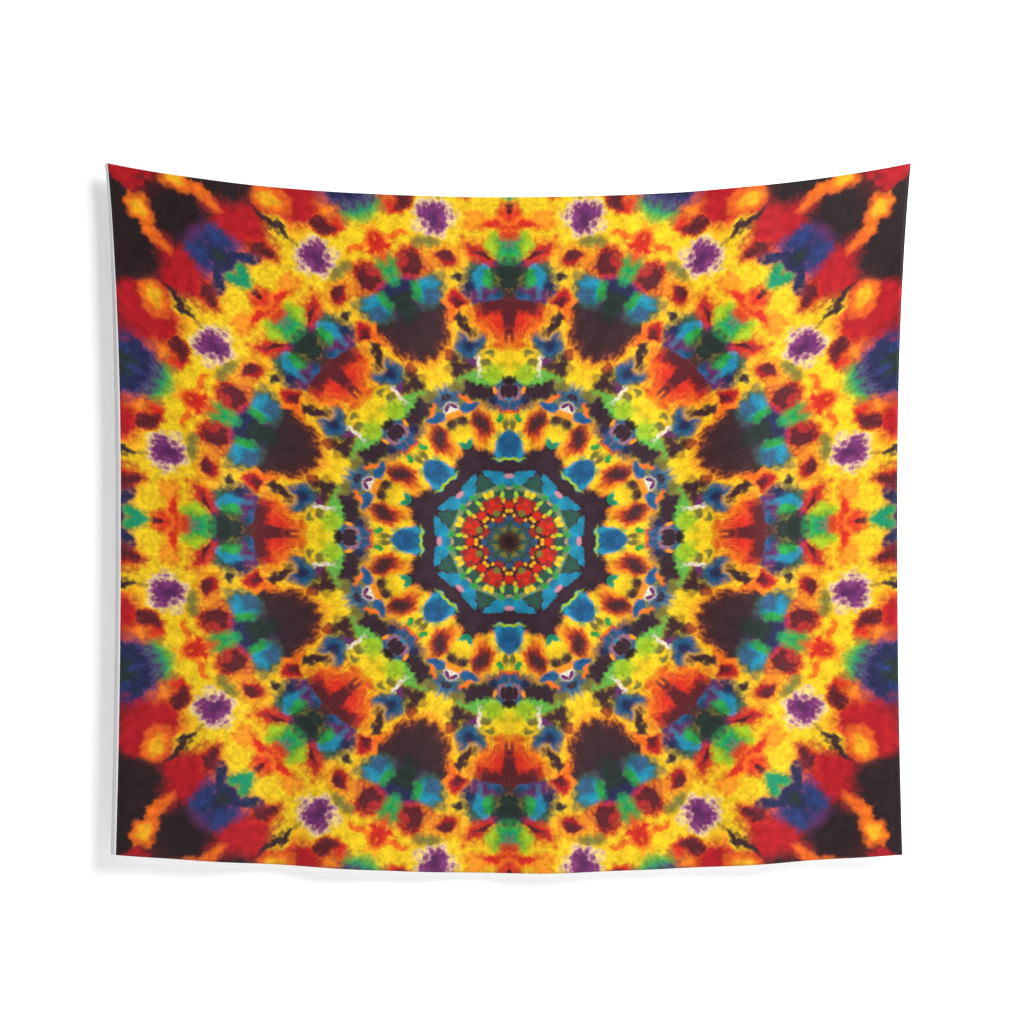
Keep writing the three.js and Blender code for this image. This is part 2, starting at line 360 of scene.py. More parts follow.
def round_rod(path: np.ndarray, up: np.ndarray, radius: float, sides: int) -> np.ndarray:
    """The rings of a round rod along a path, whose first side points along up."""
    along = unit(np.gradient(path, axis=0))
    side = unit(np.cross(along, up))
    lift = np.cross(side, along)
    angles = np.arange(sides) * 2.0 * math.pi / sides
    spokes = side[:, None] * np.cos(angles)[None, :, None] + lift[:, None] * np.sin(angles)[None, :, None]
    return path[:, None] + radius * spokes


# ---- shader building ----------------------------------------------------------------------------------


class NodeHand:
    """Places and joins the nodes of one shader tree."""

    def __init__(self, tree: bpy.types.NodeTree) -> None:
        """Takes the tree to build in."""
        self.tree = tree

    def node(self, kind: str, **settings: object) -> bpy.types.Node:
        """Adds a node of a kind and sets its properties."""
        node = self.tree.nodes.new(kind)
        for name, value in settings.items():
            setattr(node, name, value)
        return node

    def feed(self, target: bpy.types.NodeSocket, value: object) -> None:
        """Links a socket to an input, or sets the input's own value."""
        if isinstance(value, bpy.types.NodeSocket):
            self.tree.links.new(value, target)
        elif value is not None:
            target.default_value = value

    def math(self, operation: str, *values: object, clamp: bool = False) -> bpy.types.NodeSocket:
        """A Math node's result."""
        node = self.node("ShaderNodeMath", operation=operation, use_clamp=clamp)
        for target, value in zip(node.inputs, values):
            self.feed(target, value)
        return node.outputs[0]

    def vector(self, operation: str, *values: object) -> bpy.types.NodeSocket:
        """A Vector Math node's vector result."""
        node = self.node("ShaderNodeVectorMath", operation=operation)
        if operation == "SCALE":
            self.feed(node.inputs[0], values[0])
            self.feed(node.inputs["Scale"], values[1])
        else:
            for target, value in zip(node.inputs, values):
                self.feed(target, value)
        return node.outputs["Value" if operation in ("LENGTH", "DOT_PRODUCT") else "Vector"]

    def mix(self, factor: object, ground: object, dye: object, blend: str = "MIX") -> bpy.types.NodeSocket:
        """A colour Mix node's result."""
        node = self.node("ShaderNodeMix", data_type="RGBA", blend_type=blend)
        self.feed(node.inputs[0], factor)
        self.feed(node.inputs[6], ground)
        self.feed(node.inputs[7], dye)
        return node.outputs[2]

    def noise(self, vector: object, scale: float, detail: float, roughness: float = 0.5) -> bpy.types.Node:
        """A three-dimensional noise."""
        node = self.node("ShaderNodeTexNoise", noise_dimensions="3D")
        self.feed(node.inputs["Vector"], vector)
        self.feed(node.inputs["Scale"], scale)
        self.feed(node.inputs["Detail"], detail)
        self.feed(node.inputs["Roughness"], roughness)
        return node

    def ease(self, value: object, low: object, high: object) -> bpy.types.NodeSocket:
        """A smooth step of a value from 0 at low to 1 at high."""
        node = self.node("ShaderNodeMapRange", interpolation_type="SMOOTHSTEP")
        self.feed(node.inputs["Value"], value)
        self.feed(node.inputs["From Min"], low)
        self.feed(node.inputs["From Max"], high)
        return node.outputs["Result"]

    def bump(
        self, height: object, strength: float, distance: float, normal: object = None
    ) -> bpy.types.NodeSocket:
        """A Bump node's normal, laid over another bump's where one is given."""
        node = self.node("ShaderNodeBump")
        self.feed(node.inputs["Strength"], strength)
        self.feed(node.inputs["Distance"], distance)
        self.feed(node.inputs["Height"], height)
        self.feed(node.inputs["Normal"], normal)
        return node.outputs[0]

    def parts(self, vector: object) -> tuple[bpy.types.NodeSocket, ...]:
        """A vector's x, y and z."""
        node = self.node("ShaderNodeSeparateXYZ")
        self.feed(node.inputs[0], vector)
        return tuple(node.outputs)

    def whole(self, x: object, y: object, z: object = 0.0) -> bpy.types.NodeSocket:
        """A vector from x, y and z."""
        node = self.node("ShaderNodeCombineXYZ")
        for target, value in zip(node.inputs, (x, y, z)):
            self.feed(target, value)
        return node.outputs[0]


def new_group(
    name: str,
    inputs: dict[str, tuple[str, object]],
    outputs: dict[str, str],
) -> tuple[NodeHand, bpy.types.Node, bpy.types.Node]:
    """Starts a shader node group.

    Args:
        name: the group's name.
        inputs: each input's socket type and first value.
        outputs: each output's socket type.

    Returns:
        A hand for the group's tree, its input node and its output node.
    """
    tree = bpy.data.node_groups.new(name, "ShaderNodeTree")
    for label, (kind, value) in inputs.items():
        socket = tree.interface.new_socket(label, in_out="INPUT", socket_type=kind)
        if value is not None:
            socket.default_value = value
    for label, kind in outputs.items():
        tree.interface.new_socket(label, in_out="OUTPUT", socket_type=kind)
    hand = NodeHand(tree)
    return hand, hand.node("NodeGroupInput"), hand.node("NodeGroupOutput")


def place_group(hand: NodeHand, group: bpy.types.NodeTree, **values: object) -> bpy.types.Node:
    """Places a group in a tree; a value's name is the input's, with _ for each space."""
    node = hand.node("ShaderNodeGroup", node_tree=group)
    for label, value in values.items():
        hand.feed(node.inputs[label.replace("_", " ")], value)
    return node


class Dye(Enum):
    """The print's dyes, as screen colours."""

    YELLOW = (238, 204, 28)
    SUN = (238, 190, 28)
    GOLD = (234, 172, 28)
    LIME = (158, 200, 36)
    GRASS = (96, 172, 66)
    GREEN = (40, 158, 72)
    EMERALD = (24, 146, 108)
    PINE = (44, 84, 72)
    DARK_GREEN = (36, 50, 46)
    CYAN = (28, 140, 178)
    BLUE = (28, 88, 138)
    STEEL = (50, 92, 128)
    DEEP_BLUE = (38, 56, 112)
    NAVY = (36, 42, 82)
    PURPLE = (108, 44, 104)
    VIOLET = (92, 42, 98)
    MAGENTA = (176, 62, 138)
    PINK = (206, 140, 160)
    ORANGE = (238, 112, 24)
    AMBER = (238, 146, 30)
    RED = (208, 44, 28)
    CRIMSON = (176, 22, 34)
    BRICK = (172, 42, 42)
    MAROON = (90, 30, 38)
    AUBERGINE = (54, 35, 47)
    UMBER = (62, 38, 42)
    BLACK = (38, 26, 30)
    OLIVE = (122, 118, 52)
    SAGE = (120, 146, 96)
    SAND = (180, 150, 104)
    CREAM = (226, 220, 206)

    @property
    def paint(self) -> tuple[float, float, float, float]:
        """The dye's linear colour."""
        return linear(self.value)


@dataclass(frozen=True)
class Blot:
    """One blot of dye in the print's repeating wedge, in millimetres from the print's centre.

    along runs out from the centre on the wedge's first mirror line, and up runs away from that line.
    """

    along: float
    up: float
    length: float
    breadth: float
    turn: float
    dye: Dye
    softness: float = 0.35
    fringe: float = 0.5

    def rows(self) -> tuple[tuple[float, float, float], tuple[float, float, float]]:
        """Two rows that turn a place, with 1 as its third part, into the blot's own x and y."""
        angle = math.radians(self.turn)
        cos, sin = math.cos(angle), math.sin(angle)
        ahead = self.along * cos + self.up * sin
        aside = self.up * cos - self.along * sin
        first = (cos / self.length, sin / self.length, -ahead / self.length)
        second = (-sin / self.breadth, cos / self.breadth, -aside / self.breadth)
        return first, second


class Mandala:
    """The print: a tie-dye mandala, whose wedge repeats by mirrors around the centre."""

    WEDGE = math.pi / 8.0
    STRETCH = (0.965, 1.036, 1.0)  # the print is a little wider than it is high
    GROUND = (
        (0.0, Dye.BLACK),
        (22.0, Dye.UMBER),
        (36.0, Dye.OLIVE),
        (48.0, Dye.PINE),
        (62.0, Dye.UMBER),
        (104.0, Dye.MAROON),
        (116.0, Dye.PINE),
        (150.0, Dye.SAGE),
        (162.0, Dye.CYAN),
        (176.0, Dye.AUBERGINE),
        (234.0, Dye.AUBERGINE),
        (248.0, Dye.AMBER),
        (266.0, Dye.YELLOW),
        (345.0, Dye.YELLOW),
        (362.0, Dye.AMBER),
        (385.0, Dye.OLIVE),
        (426.0, Dye.OLIVE),
        (446.0, Dye.YELLOW),
        (600.0, Dye.YELLOW),
        (690.0, Dye.SUN),
        (930.0, Dye.YELLOW),
        (985.0, Dye.ORANGE),
        (1030.0, Dye.CRIMSON),
        (1110.0, Dye.MAROON),
        (1180.0, Dye.BLACK),
    )
    SPAN = 1300.0  # the ground's ramp ends here
    CENTRE_DROP = 17.0  # the print's centre lies this far below the middle of the drop
    CALM = 0.12  # the share of the wander that is left at the centre
    CALM_REACH = 420.0  # and the radius where all of it shows
    WANDER_SIZE, WANDER_REACH = 62.0, 52.0  # slow bends of the dye's edges
    JITTER_SIZE, JITTER_REACH = 17.0, 24.0  # quick ones
    STREAK_LENGTH, STREAKS = 42.0, 64.0  # radial feathering: its length, and how many to a radian
    CRUMB_SIZE, CRUMB_DEPTH = 12.0, 0.6
    FEATHER_MIDDLE = 0.8  # brings the feathering's mean to zero
    RING_FEATHER = 34.0
    POOL_SIZE = 24.0
    POOL_TINT = (0.74, 0.64, 0.6, 1.0)
    CLEAR_TINT = (1.06, 1.05, 1.02, 1.0)

    # Each layer's blots lie over the ones before. A blot gives along, up, length, breadth, turn and dye,
    # then its softness and its fringe where they aren't the usual ones.
    HEART = (
        Blot(30, 16, 11, 6, 28, Dye.OLIVE),
        Blot(38, 0, 9, 5, 0, Dye.PINE),
        Blot(46, 14, 7, 5, 18, Dye.STEEL),
        Blot(52, 32, 7, 7, 0, Dye.EMERALD, 0.5),
        Blot(62, 4, 8, 6, 0, Dye.STEEL, 0.5),
        Blot(60, 20, 8, 6, 0, Dye.BRICK),
        Blot(70, 12, 5, 4, 0, Dye.GOLD, 0.5),
        Blot(76, 32, 8, 8, 0, Dye.OLIVE, 0.5),
        Blot(84, 4, 6, 5, 0, Dye.GOLD, 0.5),
        Blot(93, 26, 10, 13, 0, Dye.RED, 0.25),
        Blot(104, 42, 10, 9, 0, Dye.RED, 0.25),
        Blot(112, 26, 9, 9, 0, Dye.BRICK, 0.3),
        Blot(100, 0, 9, 10, 0, Dye.RED, 0.3),
        Blot(90, 14, 5, 4, 0, Dye.AUBERGINE),
        Blot(112, 12, 6, 5, 0, Dye.GOLD, 0.5),
        Blot(126, 46, 8, 8, 0, Dye.YELLOW, 0.5),
        Blot(128, 30, 9, 8, 0, Dye.PINE),
        Blot(124, 18, 7, 5, 0, Dye.LIME, 0.6),
        Blot(134, 6, 12, 7, 0, Dye.PINE),
        Blot(138, 38, 6, 9, 0, Dye.SAGE, 0.6),
        Blot(150, 52, 10, 14, 0, Dye.PINE),
        Blot(146, 22, 8, 7, 0, Dye.GREEN, 0.6),
        Blot(142, 0, 4, 8, 0, Dye.SAND, 0.6),
        Blot(154, 4, 6, 12, 0, Dye.NAVY),
    )
    LOBES = (
        Blot(210, 85, 56, 50, 22.5, Dye.AUBERGINE, 0.15, 0.3),
        Blot(170, 32, 18, 18, 0, Dye.CYAN, 0.25, 0.3),
        Blot(180, 50, 16, 8, 62, Dye.CYAN, 0.3),
        Blot(160, 12, 9, 14, -60, Dye.CYAN),
        Blot(174, 6, 5, 8, 0, Dye.PINK, 0.6),
        Blot(158, 64, 16, 12, 22.5, Dye.PINE),
        Blot(256, 10, 46, 19, -22, Dye.CYAN, 0.2, 0.3),
        Blot(232, 6, 16, 30, 0, Dye.CYAN, 0.2, 0.3),
        Blot(262, 4, 30, 14, -14, Dye.BLUE, 0.7),
        Blot(202, 2, 18, 40, 0, Dye.AUBERGINE, 0.2, 0.3),
        Blot(222, 12, 3, 22, 0, Dye.LIME, 0.6),
        Blot(286, 26, 12, 7, 24, Dye.EMERALD, 0.5),
        Blot(310, 6, 16, 7, 0, Dye.OLIVE, 0.5),
    )
    FLOWERS = (
        Blot(272, 74, 24, 18, 20, Dye.ORANGE, 0.6),
        Blot(272, 74, 14, 10, 20, Dye.RED, 0.6),
        Blot(308, 66, 46, 34, 12, Dye.YELLOW, 0.6, 0.8),
        Blot(306, 66, 36, 25, 12, Dye.ORANGE, 0.6, 0.9),
        Blot(312, 68, 30, 20, 20, Dye.RED, 1.0, 0.9),
        Blot(314, 68, 24, 15, 20, Dye.UMBER, 1.0, 0.9),
        Blot(262, 104, 11, 9, 0, Dye.EMERALD),
        Blot(322, 122, 12, 16, 0, Dye.UMBER, 0.8, 0.9),
        Blot(332, 22, 13, 8, 0, Dye.GREEN),
        Blot(352, 10, 8, 18, 0, Dye.ORANGE),
        Blot(358, 108, 11, 24, 8, Dye.BLUE, 0.4),
        Blot(345, 138, 10, 9, 0, Dye.AMBER, 0.5),
        Blot(378, 116, 6, 20, -18, Dye.ORANGE, 0.5),
    )
    GIRDLE = (
        Blot(374, 34, 22, 28, 0, Dye.NAVY, 0.5),
        Blot(368, 18, 12, 12, 0, Dye.BLUE, 0.6),
        Blot(402, 82, 24, 46, 0, Dye.AUBERGINE, 0.3),
        Blot(392, 155, 25, 23, 0, Dye.STEEL, 0.5),
        Blot(388, 157, 8, 8, 0, Dye.AUBERGINE, 0.5),
        Blot(362, 146, 9, 9, 0, Dye.CREAM, 0.6),
        Blot(365, 146, 5, 5, 0, Dye.PURPLE, 0.5),
        Blot(394, 0, 30, 32, 0, Dye.STEEL, 0.5),
        Blot(396, 0, 22, 23, 0, Dye.PINK, 0.5, 0.9),
        Blot(396, 0, 20, 20, 0, Dye.AUBERGINE, 0.4, 0.7),
        Blot(376, 0, 6, 12, 0, Dye.CYAN, 0.5),
        Blot(404, 36, 12, 8, 0, Dye.AMBER, 0.6),
        Blot(420, 22, 14, 12, 0, Dye.STEEL, 0.5),
        Blot(426, 0, 13, 12, 0, Dye.BLACK, 0.4),
        Blot(418, 132, 18, 18, 0, Dye.OLIVE, 0.6),
        Blot(432, 78, 13, 52, 0, Dye.GRASS, 0.4),
        Blot(448, 40, 16, 30, 0, Dye.LIME, 0.8),
        Blot(486, 142, 18, 22, -20, Dye.UMBER, 0.4),
        Blot(456, 122, 18, 24, 20, Dye.UMBER, 0.4),
        Blot(480, 102, 30, 13, 10, Dye.UMBER, 0.5),
        Blot(476, 100, 18, 7, 10, Dye.PURPLE, 0.6),
        Blot(468, 84, 22, 6, 8, Dye.CREAM, 0.8, 0.9),
        Blot(467, 60, 11, 14, -20, Dye.OLIVE, 0.5),
        Blot(503, 48, 8, 10, 20, Dye.OLIVE, 0.7),
    )
    FLAME = (
        Blot(590, 52, 64, 36, -38, Dye.ORANGE, 0.7, 0.7),
        Blot(556, 6, 34, 20, 0, Dye.ORANGE, 0.7, 0.8),
        Blot(600, 20, 56, 26, -10, Dye.RED, 0.6, 0.8),
        Blot(612, 62, 16, 30, -10, Dye.RED, 0.7, 0.8),
        Blot(626, 34, 22, 44, 0, Dye.MAROON, 0.5, 0.7),
        Blot(588, 3, 40, 10, 0, Dye.MAROON, 0.5, 0.9),
        Blot(528, 100, 36, 33, 0, Dye.PINE, 0.5),
        Blot(530, 101, 29, 26, 0, Dye.BLUE, 0.5),
        Blot(528, 98, 14, 16, 0, Dye.NAVY, 0.6),
        Blot(586, 108, 38, 22, 22, Dye.GOLD, 0.6),
        Blot(584, 110, 30, 16, 22, Dye.UMBER, 0.4, 0.8),
        Blot(590, 126, 8, 14, -20, Dye.UMBER, 0.5, 0.8),
    )
    ROSETTE = (
        Blot(680, 90, 30, 27, 0, Dye.NAVY, 0.5),
        Blot(654, 76, 16, 25, 0, Dye.VIOLET, 0.5),
        Blot(728, 84, 26, 26, 0, Dye.PINE, 0.5),
        Blot(692, 66, 30, 20, 0, Dye.CYAN, 0.6),
        Blot(665, 46, 18, 22, 0, Dye.VIOLET, 0.5),
        Blot(702, 46, 28, 15, 0, Dye.GREEN, 0.5),
        Blot(732, 58, 11, 10, 0, Dye.CYAN, 0.6),
        Blot(650, 34, 9, 20, 10, Dye.BLUE, 0.6),
        Blot(742, 44, 13, 34, -18, Dye.VIOLET, 0.5),
        Blot(732, 16, 20, 24, 0, Dye.NAVY, 0.5),
        Blot(696, 0, 50, 34, 0, Dye.DARK_GREEN, 0.4),
        Blot(772, 78, 46, 26, 60, Dye.RED, 0.6, 0.8),
        Blot(774, 76, 34, 13, 60, Dye.BRICK, 0.5, 0.8),
        Blot(768, 66, 22, 8, 60, Dye.MAROON, 0.5, 0.8),
        Blot(790, 30, 20, 20, 0, Dye.LIME, 0.7),
        Blot(776, 4, 34, 24, 0, Dye.GREEN, 0.4),
        Blot(786, 4, 16, 12, 0, Dye.EMERALD, 0.6),
    )
    LEAVES = (
        Blot(570, 230, 108, 72, 22.5, Dye.ORANGE, 0.4, 0.6),
        Blot(610, 154, 34, 20, -20, Dye.ORANGE, 0.7, 0.6),
        Blot(572, 230, 92, 62, 22.5, Dye.MAROON, 0.3, 0.7),
        Blot(566, 222, 82, 50, 14, Dye.UMBER, 0.4, 0.6),
        Blot(604, 184, 32, 24, -10, Dye.UMBER, 0.4, 0.7),
        Blot(644, 258, 100, 52, 22.5, Dye.AUBERGINE, 0.35, 0.6),
        Blot(668, 262, 56, 42, 22.5, Dye.NAVY, 0.5, 0.6),
        Blot(630, 214, 9, 24, -10, Dye.VIOLET, 0.5, 0.8),
        Blot(706, 250, 16, 22, 10, Dye.VIOLET, 0.5, 0.8),
        Blot(618, 252, 30, 22, 22.5, Dye.DARK_GREEN, 0.6),
        Blot(664, 200, 42, 34, 10, Dye.PINE, 0.5),
        Blot(668, 208, 28, 22, 20, Dye.CYAN, 0.5),
        Blot(652, 188, 18, 13, 0, Dye.STEEL, 0.5),
        Blot(664, 228, 27, 16, 20, Dye.GREEN, 0.5),
        Blot(740, 236, 36, 42, 10, Dye.RED, 0.5, 0.8),
        Blot(738, 238, 25, 34, 10, Dye.MAROON, 0.4, 0.8),
        Blot(730, 268, 26, 8, -20, Dye.BRICK, 0.5, 0.8),
        Blot(716, 298, 38, 26, 22.5, Dye.GREEN, 0.4),
        Blot(700, 292, 18, 12, 22.5, Dye.EMERALD, 0.6),
        Blot(638, 124, 25, 22, 0, Dye.ORANGE, 0.5, 0.7),
        Blot(640, 124, 22, 19, 0, Dye.CRIMSON, 0.4, 0.7),
        Blot(634, 122, 12, 11, 0, Dye.MAROON, 0.6),
        Blot(748, 160, 30, 36, 0, Dye.AMBER, 0.6, 0.8),
        Blot(742, 158, 24, 27, 0, Dye.CRIMSON, 0.4, 0.7),
        Blot(750, 158, 14, 16, 0, Dye.MAROON, 0.6),
        Blot(701, 130, 11, 20, 10, Dye.OLIVE, 0.5, 0.9),
        Blot(701, 132, 7, 14, 10, Dye.UMBER, 0.5, 0.9),
    )
    SUNBURSTS = (
        Blot(860, 178, 40, 41, 0, Dye.CREAM, 0.6, 1.2),
        Blot(860, 178, 39, 40, 0, Dye.MAGENTA, 0.4, 1.2),
        Blot(860, 178, 35, 36, 0, Dye.PURPLE, 0.4, 1.1),
        Blot(852, 178, 15, 15, 0, Dye.VIOLET, 0.6),
        Blot(780, 322, 40, 20, 22.5, Dye.ORANGE, 0.7, 0.8),
        Blot(776, 320, 30, 9, 22.5, Dye.RED, 0.6, 0.8),
        Blot(770, 318, 10, 28, 22.5, Dye.RED, 0.6, 0.8),
        Blot(808, 282, 9, 28, 10, Dye.ORANGE, 0.6, 0.8),
        Blot(846, 4, 46, 22, 0, Dye.RED, 0.6, 0.8),
        Blot(842, 44, 17, 46, -8, Dye.ORANGE, 0.6, 0.8),
        Blot(840, 44, 9, 30, -8, Dye.RED, 0.6, 0.8),
        Blot(850, 0, 58, 6, 0, Dye.MAROON, 0.5, 0.4),
        Blot(843, 88, 13, 22, 20, Dye.AMBER, 0.6),
        Blot(872, 84, 12, 20, -14, Dye.AMBER, 0.6),
        Blot(890, 306, 22, 40, -10, Dye.RED, 0.6, 0.8),
        Blot(878, 348, 36, 34, 22.5, Dye.GRASS, 0.5),
        Blot(888, 358, 24, 22, 22.5, Dye.EMERALD, 0.6),
        Blot(790, 206, 14, 26, 0, Dye.OLIVE, 0.8, 0.9),
    )
    BORDER = (
        Blot(968, 158, 40, 26, 10, Dye.YELLOW, 0.6, 0.9),
        Blot(1009, 108, 62, 54, 0, Dye.CRIMSON, 0.5, 0.9),
        Blot(1105, 92, 52, 44, 0, Dye.CRIMSON, 0.5, 0.9),
        Blot(1059, 258, 52, 50, 0, Dye.CRIMSON, 0.5, 0.9),
        Blot(973, 243, 40, 40, 0, Dye.CRIMSON, 0.5, 0.9),
        Blot(1040, 206, 44, 24, -20, Dye.ORANGE, 0.6, 1.0),
        Blot(1036, 204, 26, 10, -20, Dye.GOLD, 0.6, 1.0),
        Blot(907, 258, 34, 30, 0, Dye.RED, 0.6, 0.9),
        Blot(909, 258, 28, 24, 0, Dye.MAROON, 0.4, 0.9),
        Blot(947, 90, 36, 28, -30, Dye.RED, 0.6, 0.9),
        Blot(949, 90, 30, 20, -30, Dye.MAROON, 0.5, 0.9),
        Blot(985, 166, 60, 10, -6, Dye.UMBER, 0.5, 0.9),
        Blot(1146, 8, 84, 66, 0, Dye.MAROON, 0.4, 0.9),
        Blot(1150, 8, 66, 46, 0, Dye.BLACK, 0.5, 0.9),
        Blot(1164, 160, 78, 64, 0, Dye.BLACK, 0.4, 0.8),
        Blot(1180, 230, 70, 60, 0, Dye.BLACK, 0.5, 0.8),
        Blot(1016, 2, 74, 50, 0, Dye.VIOLET, 0.5, 0.9),
        Blot(1040, 26, 40, 34, 0, Dye.DEEP_BLUE, 0.5, 0.8),
        Blot(972, 34, 42, 13, -42, Dye.NAVY, 0.5, 0.8),
        Blot(1006, 0, 44, 26, 0, Dye.NAVY, 0.5, 0.8),
        Blot(1006, 4, 14, 14, 0, Dye.DARK_GREEN, 0.7),
        Blot(932, 6, 26, 20, 0, Dye.GREEN, 0.5),
        Blot(930, 6, 18, 13, 0, Dye.EMERALD, 0.5),
        Blot(960, 384, 70, 60, 22.5, Dye.VIOLET, 0.5, 0.9),
        Blot(962, 380, 56, 46, 22.5, Dye.DEEP_BLUE, 0.5, 0.8),
        Blot(950, 350, 44, 14, -30, Dye.NAVY, 0.5, 0.8),
        Blot(966, 386, 26, 20, 22.5, Dye.DARK_GREEN, 0.7, 0.8),
        Blot(1172, 80, 66, 18, -10, Dye.ORANGE, 0.6, 1.2),
        Blot(1210, 72, 32, 26, 0, Dye.ORANGE, 0.6, 1.2),
        Blot(1210, 72, 22, 14, 0, Dye.GOLD, 0.6, 1.2),
        Blot(1288, 30, 40, 20, 0, Dye.CRIMSON, 0.6, 1.2),
    )
    LAYERS = (HEART, LOBES, FLOWERS, GIRDLE, FLAME, ROSETTE, LEAVES, SUNBURSTS, BORDER)

    def __init__(self, shape: ClothShape) -> None:
        """Builds the print's shader groups, for a cloth of this shape."""
        self.shape = shape
        self.blot_group = self._blot_group()
        self.fold_group = self._fold_group()
        self.group = self._print_group()

    @staticmethod
    def _blot_group() -> bpy.types.NodeTree:
        """One feathered blot of dye, laid over the colour beneath it."""
        hand, given, result = new_group(
            "dye_blot",
            {
                "Ground": ("NodeSocketColor", None),
                "Dye": ("NodeSocketColor", None),
                "Place": ("NodeSocketVector", None),
                "Feather": ("NodeSocketFloat", 0.0),
                "Length Row": ("NodeSocketVector", None),
                "Breadth Row": ("NodeSocketVector", None),
                "Fringe": ("NodeSocketFloat", 0.5),
                "Inner": ("NodeSocketFloat", 0.7),
                "Outer": ("NodeSocketFloat", 1.3),
            },
            {"Color": "NodeSocketColor"},
        )
        x = hand.vector("DOT_PRODUCT", given.outputs["Place"], given.outputs["Length Row"])
        y = hand.vector("DOT_PRODUCT", given.outputs["Place"], given.outputs["Breadth Row"])
        distance = hand.math("MULTIPLY_ADD", x, x, hand.math("MULTIPLY", y, y))
        reach = hand.math("MULTIPLY_ADD", given.outputs["Feather"], given.outputs["Fringe"], distance)
        cover = hand.ease(reach, given.outputs["Outer"], given.outputs["Inner"])
        colour = hand.mix(cover, given.outputs["Ground"], given.outputs["Dye"])
        hand.feed(result.inputs["Color"], colour)
        return hand.tree

    @staticmethod
    def _fold_group() -> bpy.types.NodeTree:
        """Folds a place round the centre into the wedge that repeats by mirrors."""
        hand, given, result = new_group(
            "mirror_folds",
            {"Place": ("NodeSocketVector", None)},
            {"Folded": "NodeSocketVector", "Radius": "NodeSocketFloat", "Angle": "NodeSocketFloat"},
        )
        x, y, _ = hand.parts(given.outputs["Place"])
        radius = hand.vector("LENGTH", given.outputs["Place"])
        angle = hand.math("PINGPONG", hand.math("ARCTAN2", y, x), Mandala.WEDGE)
        along = hand.math("MULTIPLY", radius, hand.math("COSINE", angle))
        up = hand.math("MULTIPLY", radius, hand.math("SINE", angle))
        hand.feed(result.inputs["Folded"], hand.whole(along, up))
        hand.feed(result.inputs["Radius"], radius)
        hand.feed(result.inputs["Angle"], angle)
        return hand.tree

    def _centre(self) -> tuple[float, float, float]:
        """The print's centre in flat millimetres: midway across the print, a little below mid drop."""
        shape = self.shape
        across = (shape.print_margin + (shape.width - shape.print_margin) / 2.0) / MM
        return (across, shape.drop / 2.0 / MM + self.CENTRE_DROP, 0.0)

    def _print_group(self) -> bpy.types.NodeTree:
        """The whole print's colour, from a flat place in millimetres."""
        hand, given, result = new_group(
            "mandala_print",
            {"Place": ("NodeSocketVector", None)},
            {"Color": "NodeSocketColor"},
        )
        offset = hand.vector("SUBTRACT", given.outputs["Place"], self._centre())
        round_place = hand.vector("MULTIPLY", offset, (self.STRETCH[0], self.STRETCH[1], 0.0))
        fold = place_group(hand, self.fold_group, Place=round_place)
        folded, radius, angle = fold.outputs
        growth = hand.node("ShaderNodeMapRange")
        hand.feed(growth.inputs["Value"], radius)
        hand.feed(growth.inputs["From Max"], self.CALM_REACH)
        hand.feed(growth.inputs["To Min"], self.CALM)
        wander = hand.noise(folded, 1.0 / self.WANDER_SIZE, 1.0).outputs["Color"]
        jitter = hand.noise(folded, 1.0 / self.JITTER_SIZE, 1.0).outputs["Color"]
        half = (0.5, 0.5, 0.5)
        slow = hand.vector("SCALE", hand.vector("SUBTRACT", wander, half), self.WANDER_REACH)
        quick = hand.vector("SCALE", hand.vector("SUBTRACT", jitter, half), self.JITTER_REACH)
        shift = hand.vector("SCALE", hand.vector("ADD", slow, quick), growth.outputs["Result"])
        warped = hand.vector("MULTIPLY", hand.vector("ADD", folded, shift), (1.0, 1.0, 0.0))
        streak_place = hand.whole(
            hand.math("DIVIDE", radius, self.STREAK_LENGTH), hand.math("MULTIPLY", angle, self.STREAKS)
        )
        streak = hand.noise(streak_place, 1.0, 2.0, 0.6).outputs[0]
        crumb = hand.noise(folded, 1.0 / self.CRUMB_SIZE, 2.0).outputs[0]
        crumbs = hand.math("MULTIPLY_ADD", crumb, self.CRUMB_DEPTH, -self.FEATHER_MIDDLE)
        feather = hand.math("ADD", streak, crumbs)
        colour = self._ground(hand, warped, feather)
        raised = hand.vector("ADD", warped, (0.0, 0.0, 1.0))
        for blot in chain.from_iterable(self.LAYERS):
            length_row, breadth_row = blot.rows()
            step = place_group(
                hand,
                self.blot_group,
                Ground=colour,
                Dye=blot.dye.paint,
                Place=raised,
                Feather=feather,
                Length_Row=length_row,
                Breadth_Row=breadth_row,
                Fringe=2.0 * blot.fringe,
                Inner=(1.0 - blot.softness) ** 2,
                Outer=(1.0 + blot.softness) ** 2,
            )
            colour = step.outputs[0]
        hand.feed(result.inputs["Color"], self._mottle(hand, colour, folded))
        return hand.tree

    def _ground(self, hand: NodeHand, place: object, feather: object) -> bpy.types.NodeSocket:
        """The dyes in rings under the blots."""
        radius = hand.vector("LENGTH", place)
        reach = hand.math("MULTIPLY_ADD", feather, self.RING_FEATHER, radius)
        share = hand.math("DIVIDE", reach, self.SPAN)
        ramp = hand.node("ShaderNodeValToRGB")
        hand.feed(ramp.inputs[0], share)
        stops = ramp.color_ramp.elements
        stops[0].position, stops[0].color = 0.0, self.GROUND[0][1].paint
        stops[1].position, stops[1].color = self.GROUND[-1][0] / self.SPAN, self.GROUND[-1][1].paint
        for distance, dye in self.GROUND[1:-1]:
            stops.new(distance / self.SPAN).color = dye.paint
        return ramp.outputs[0]

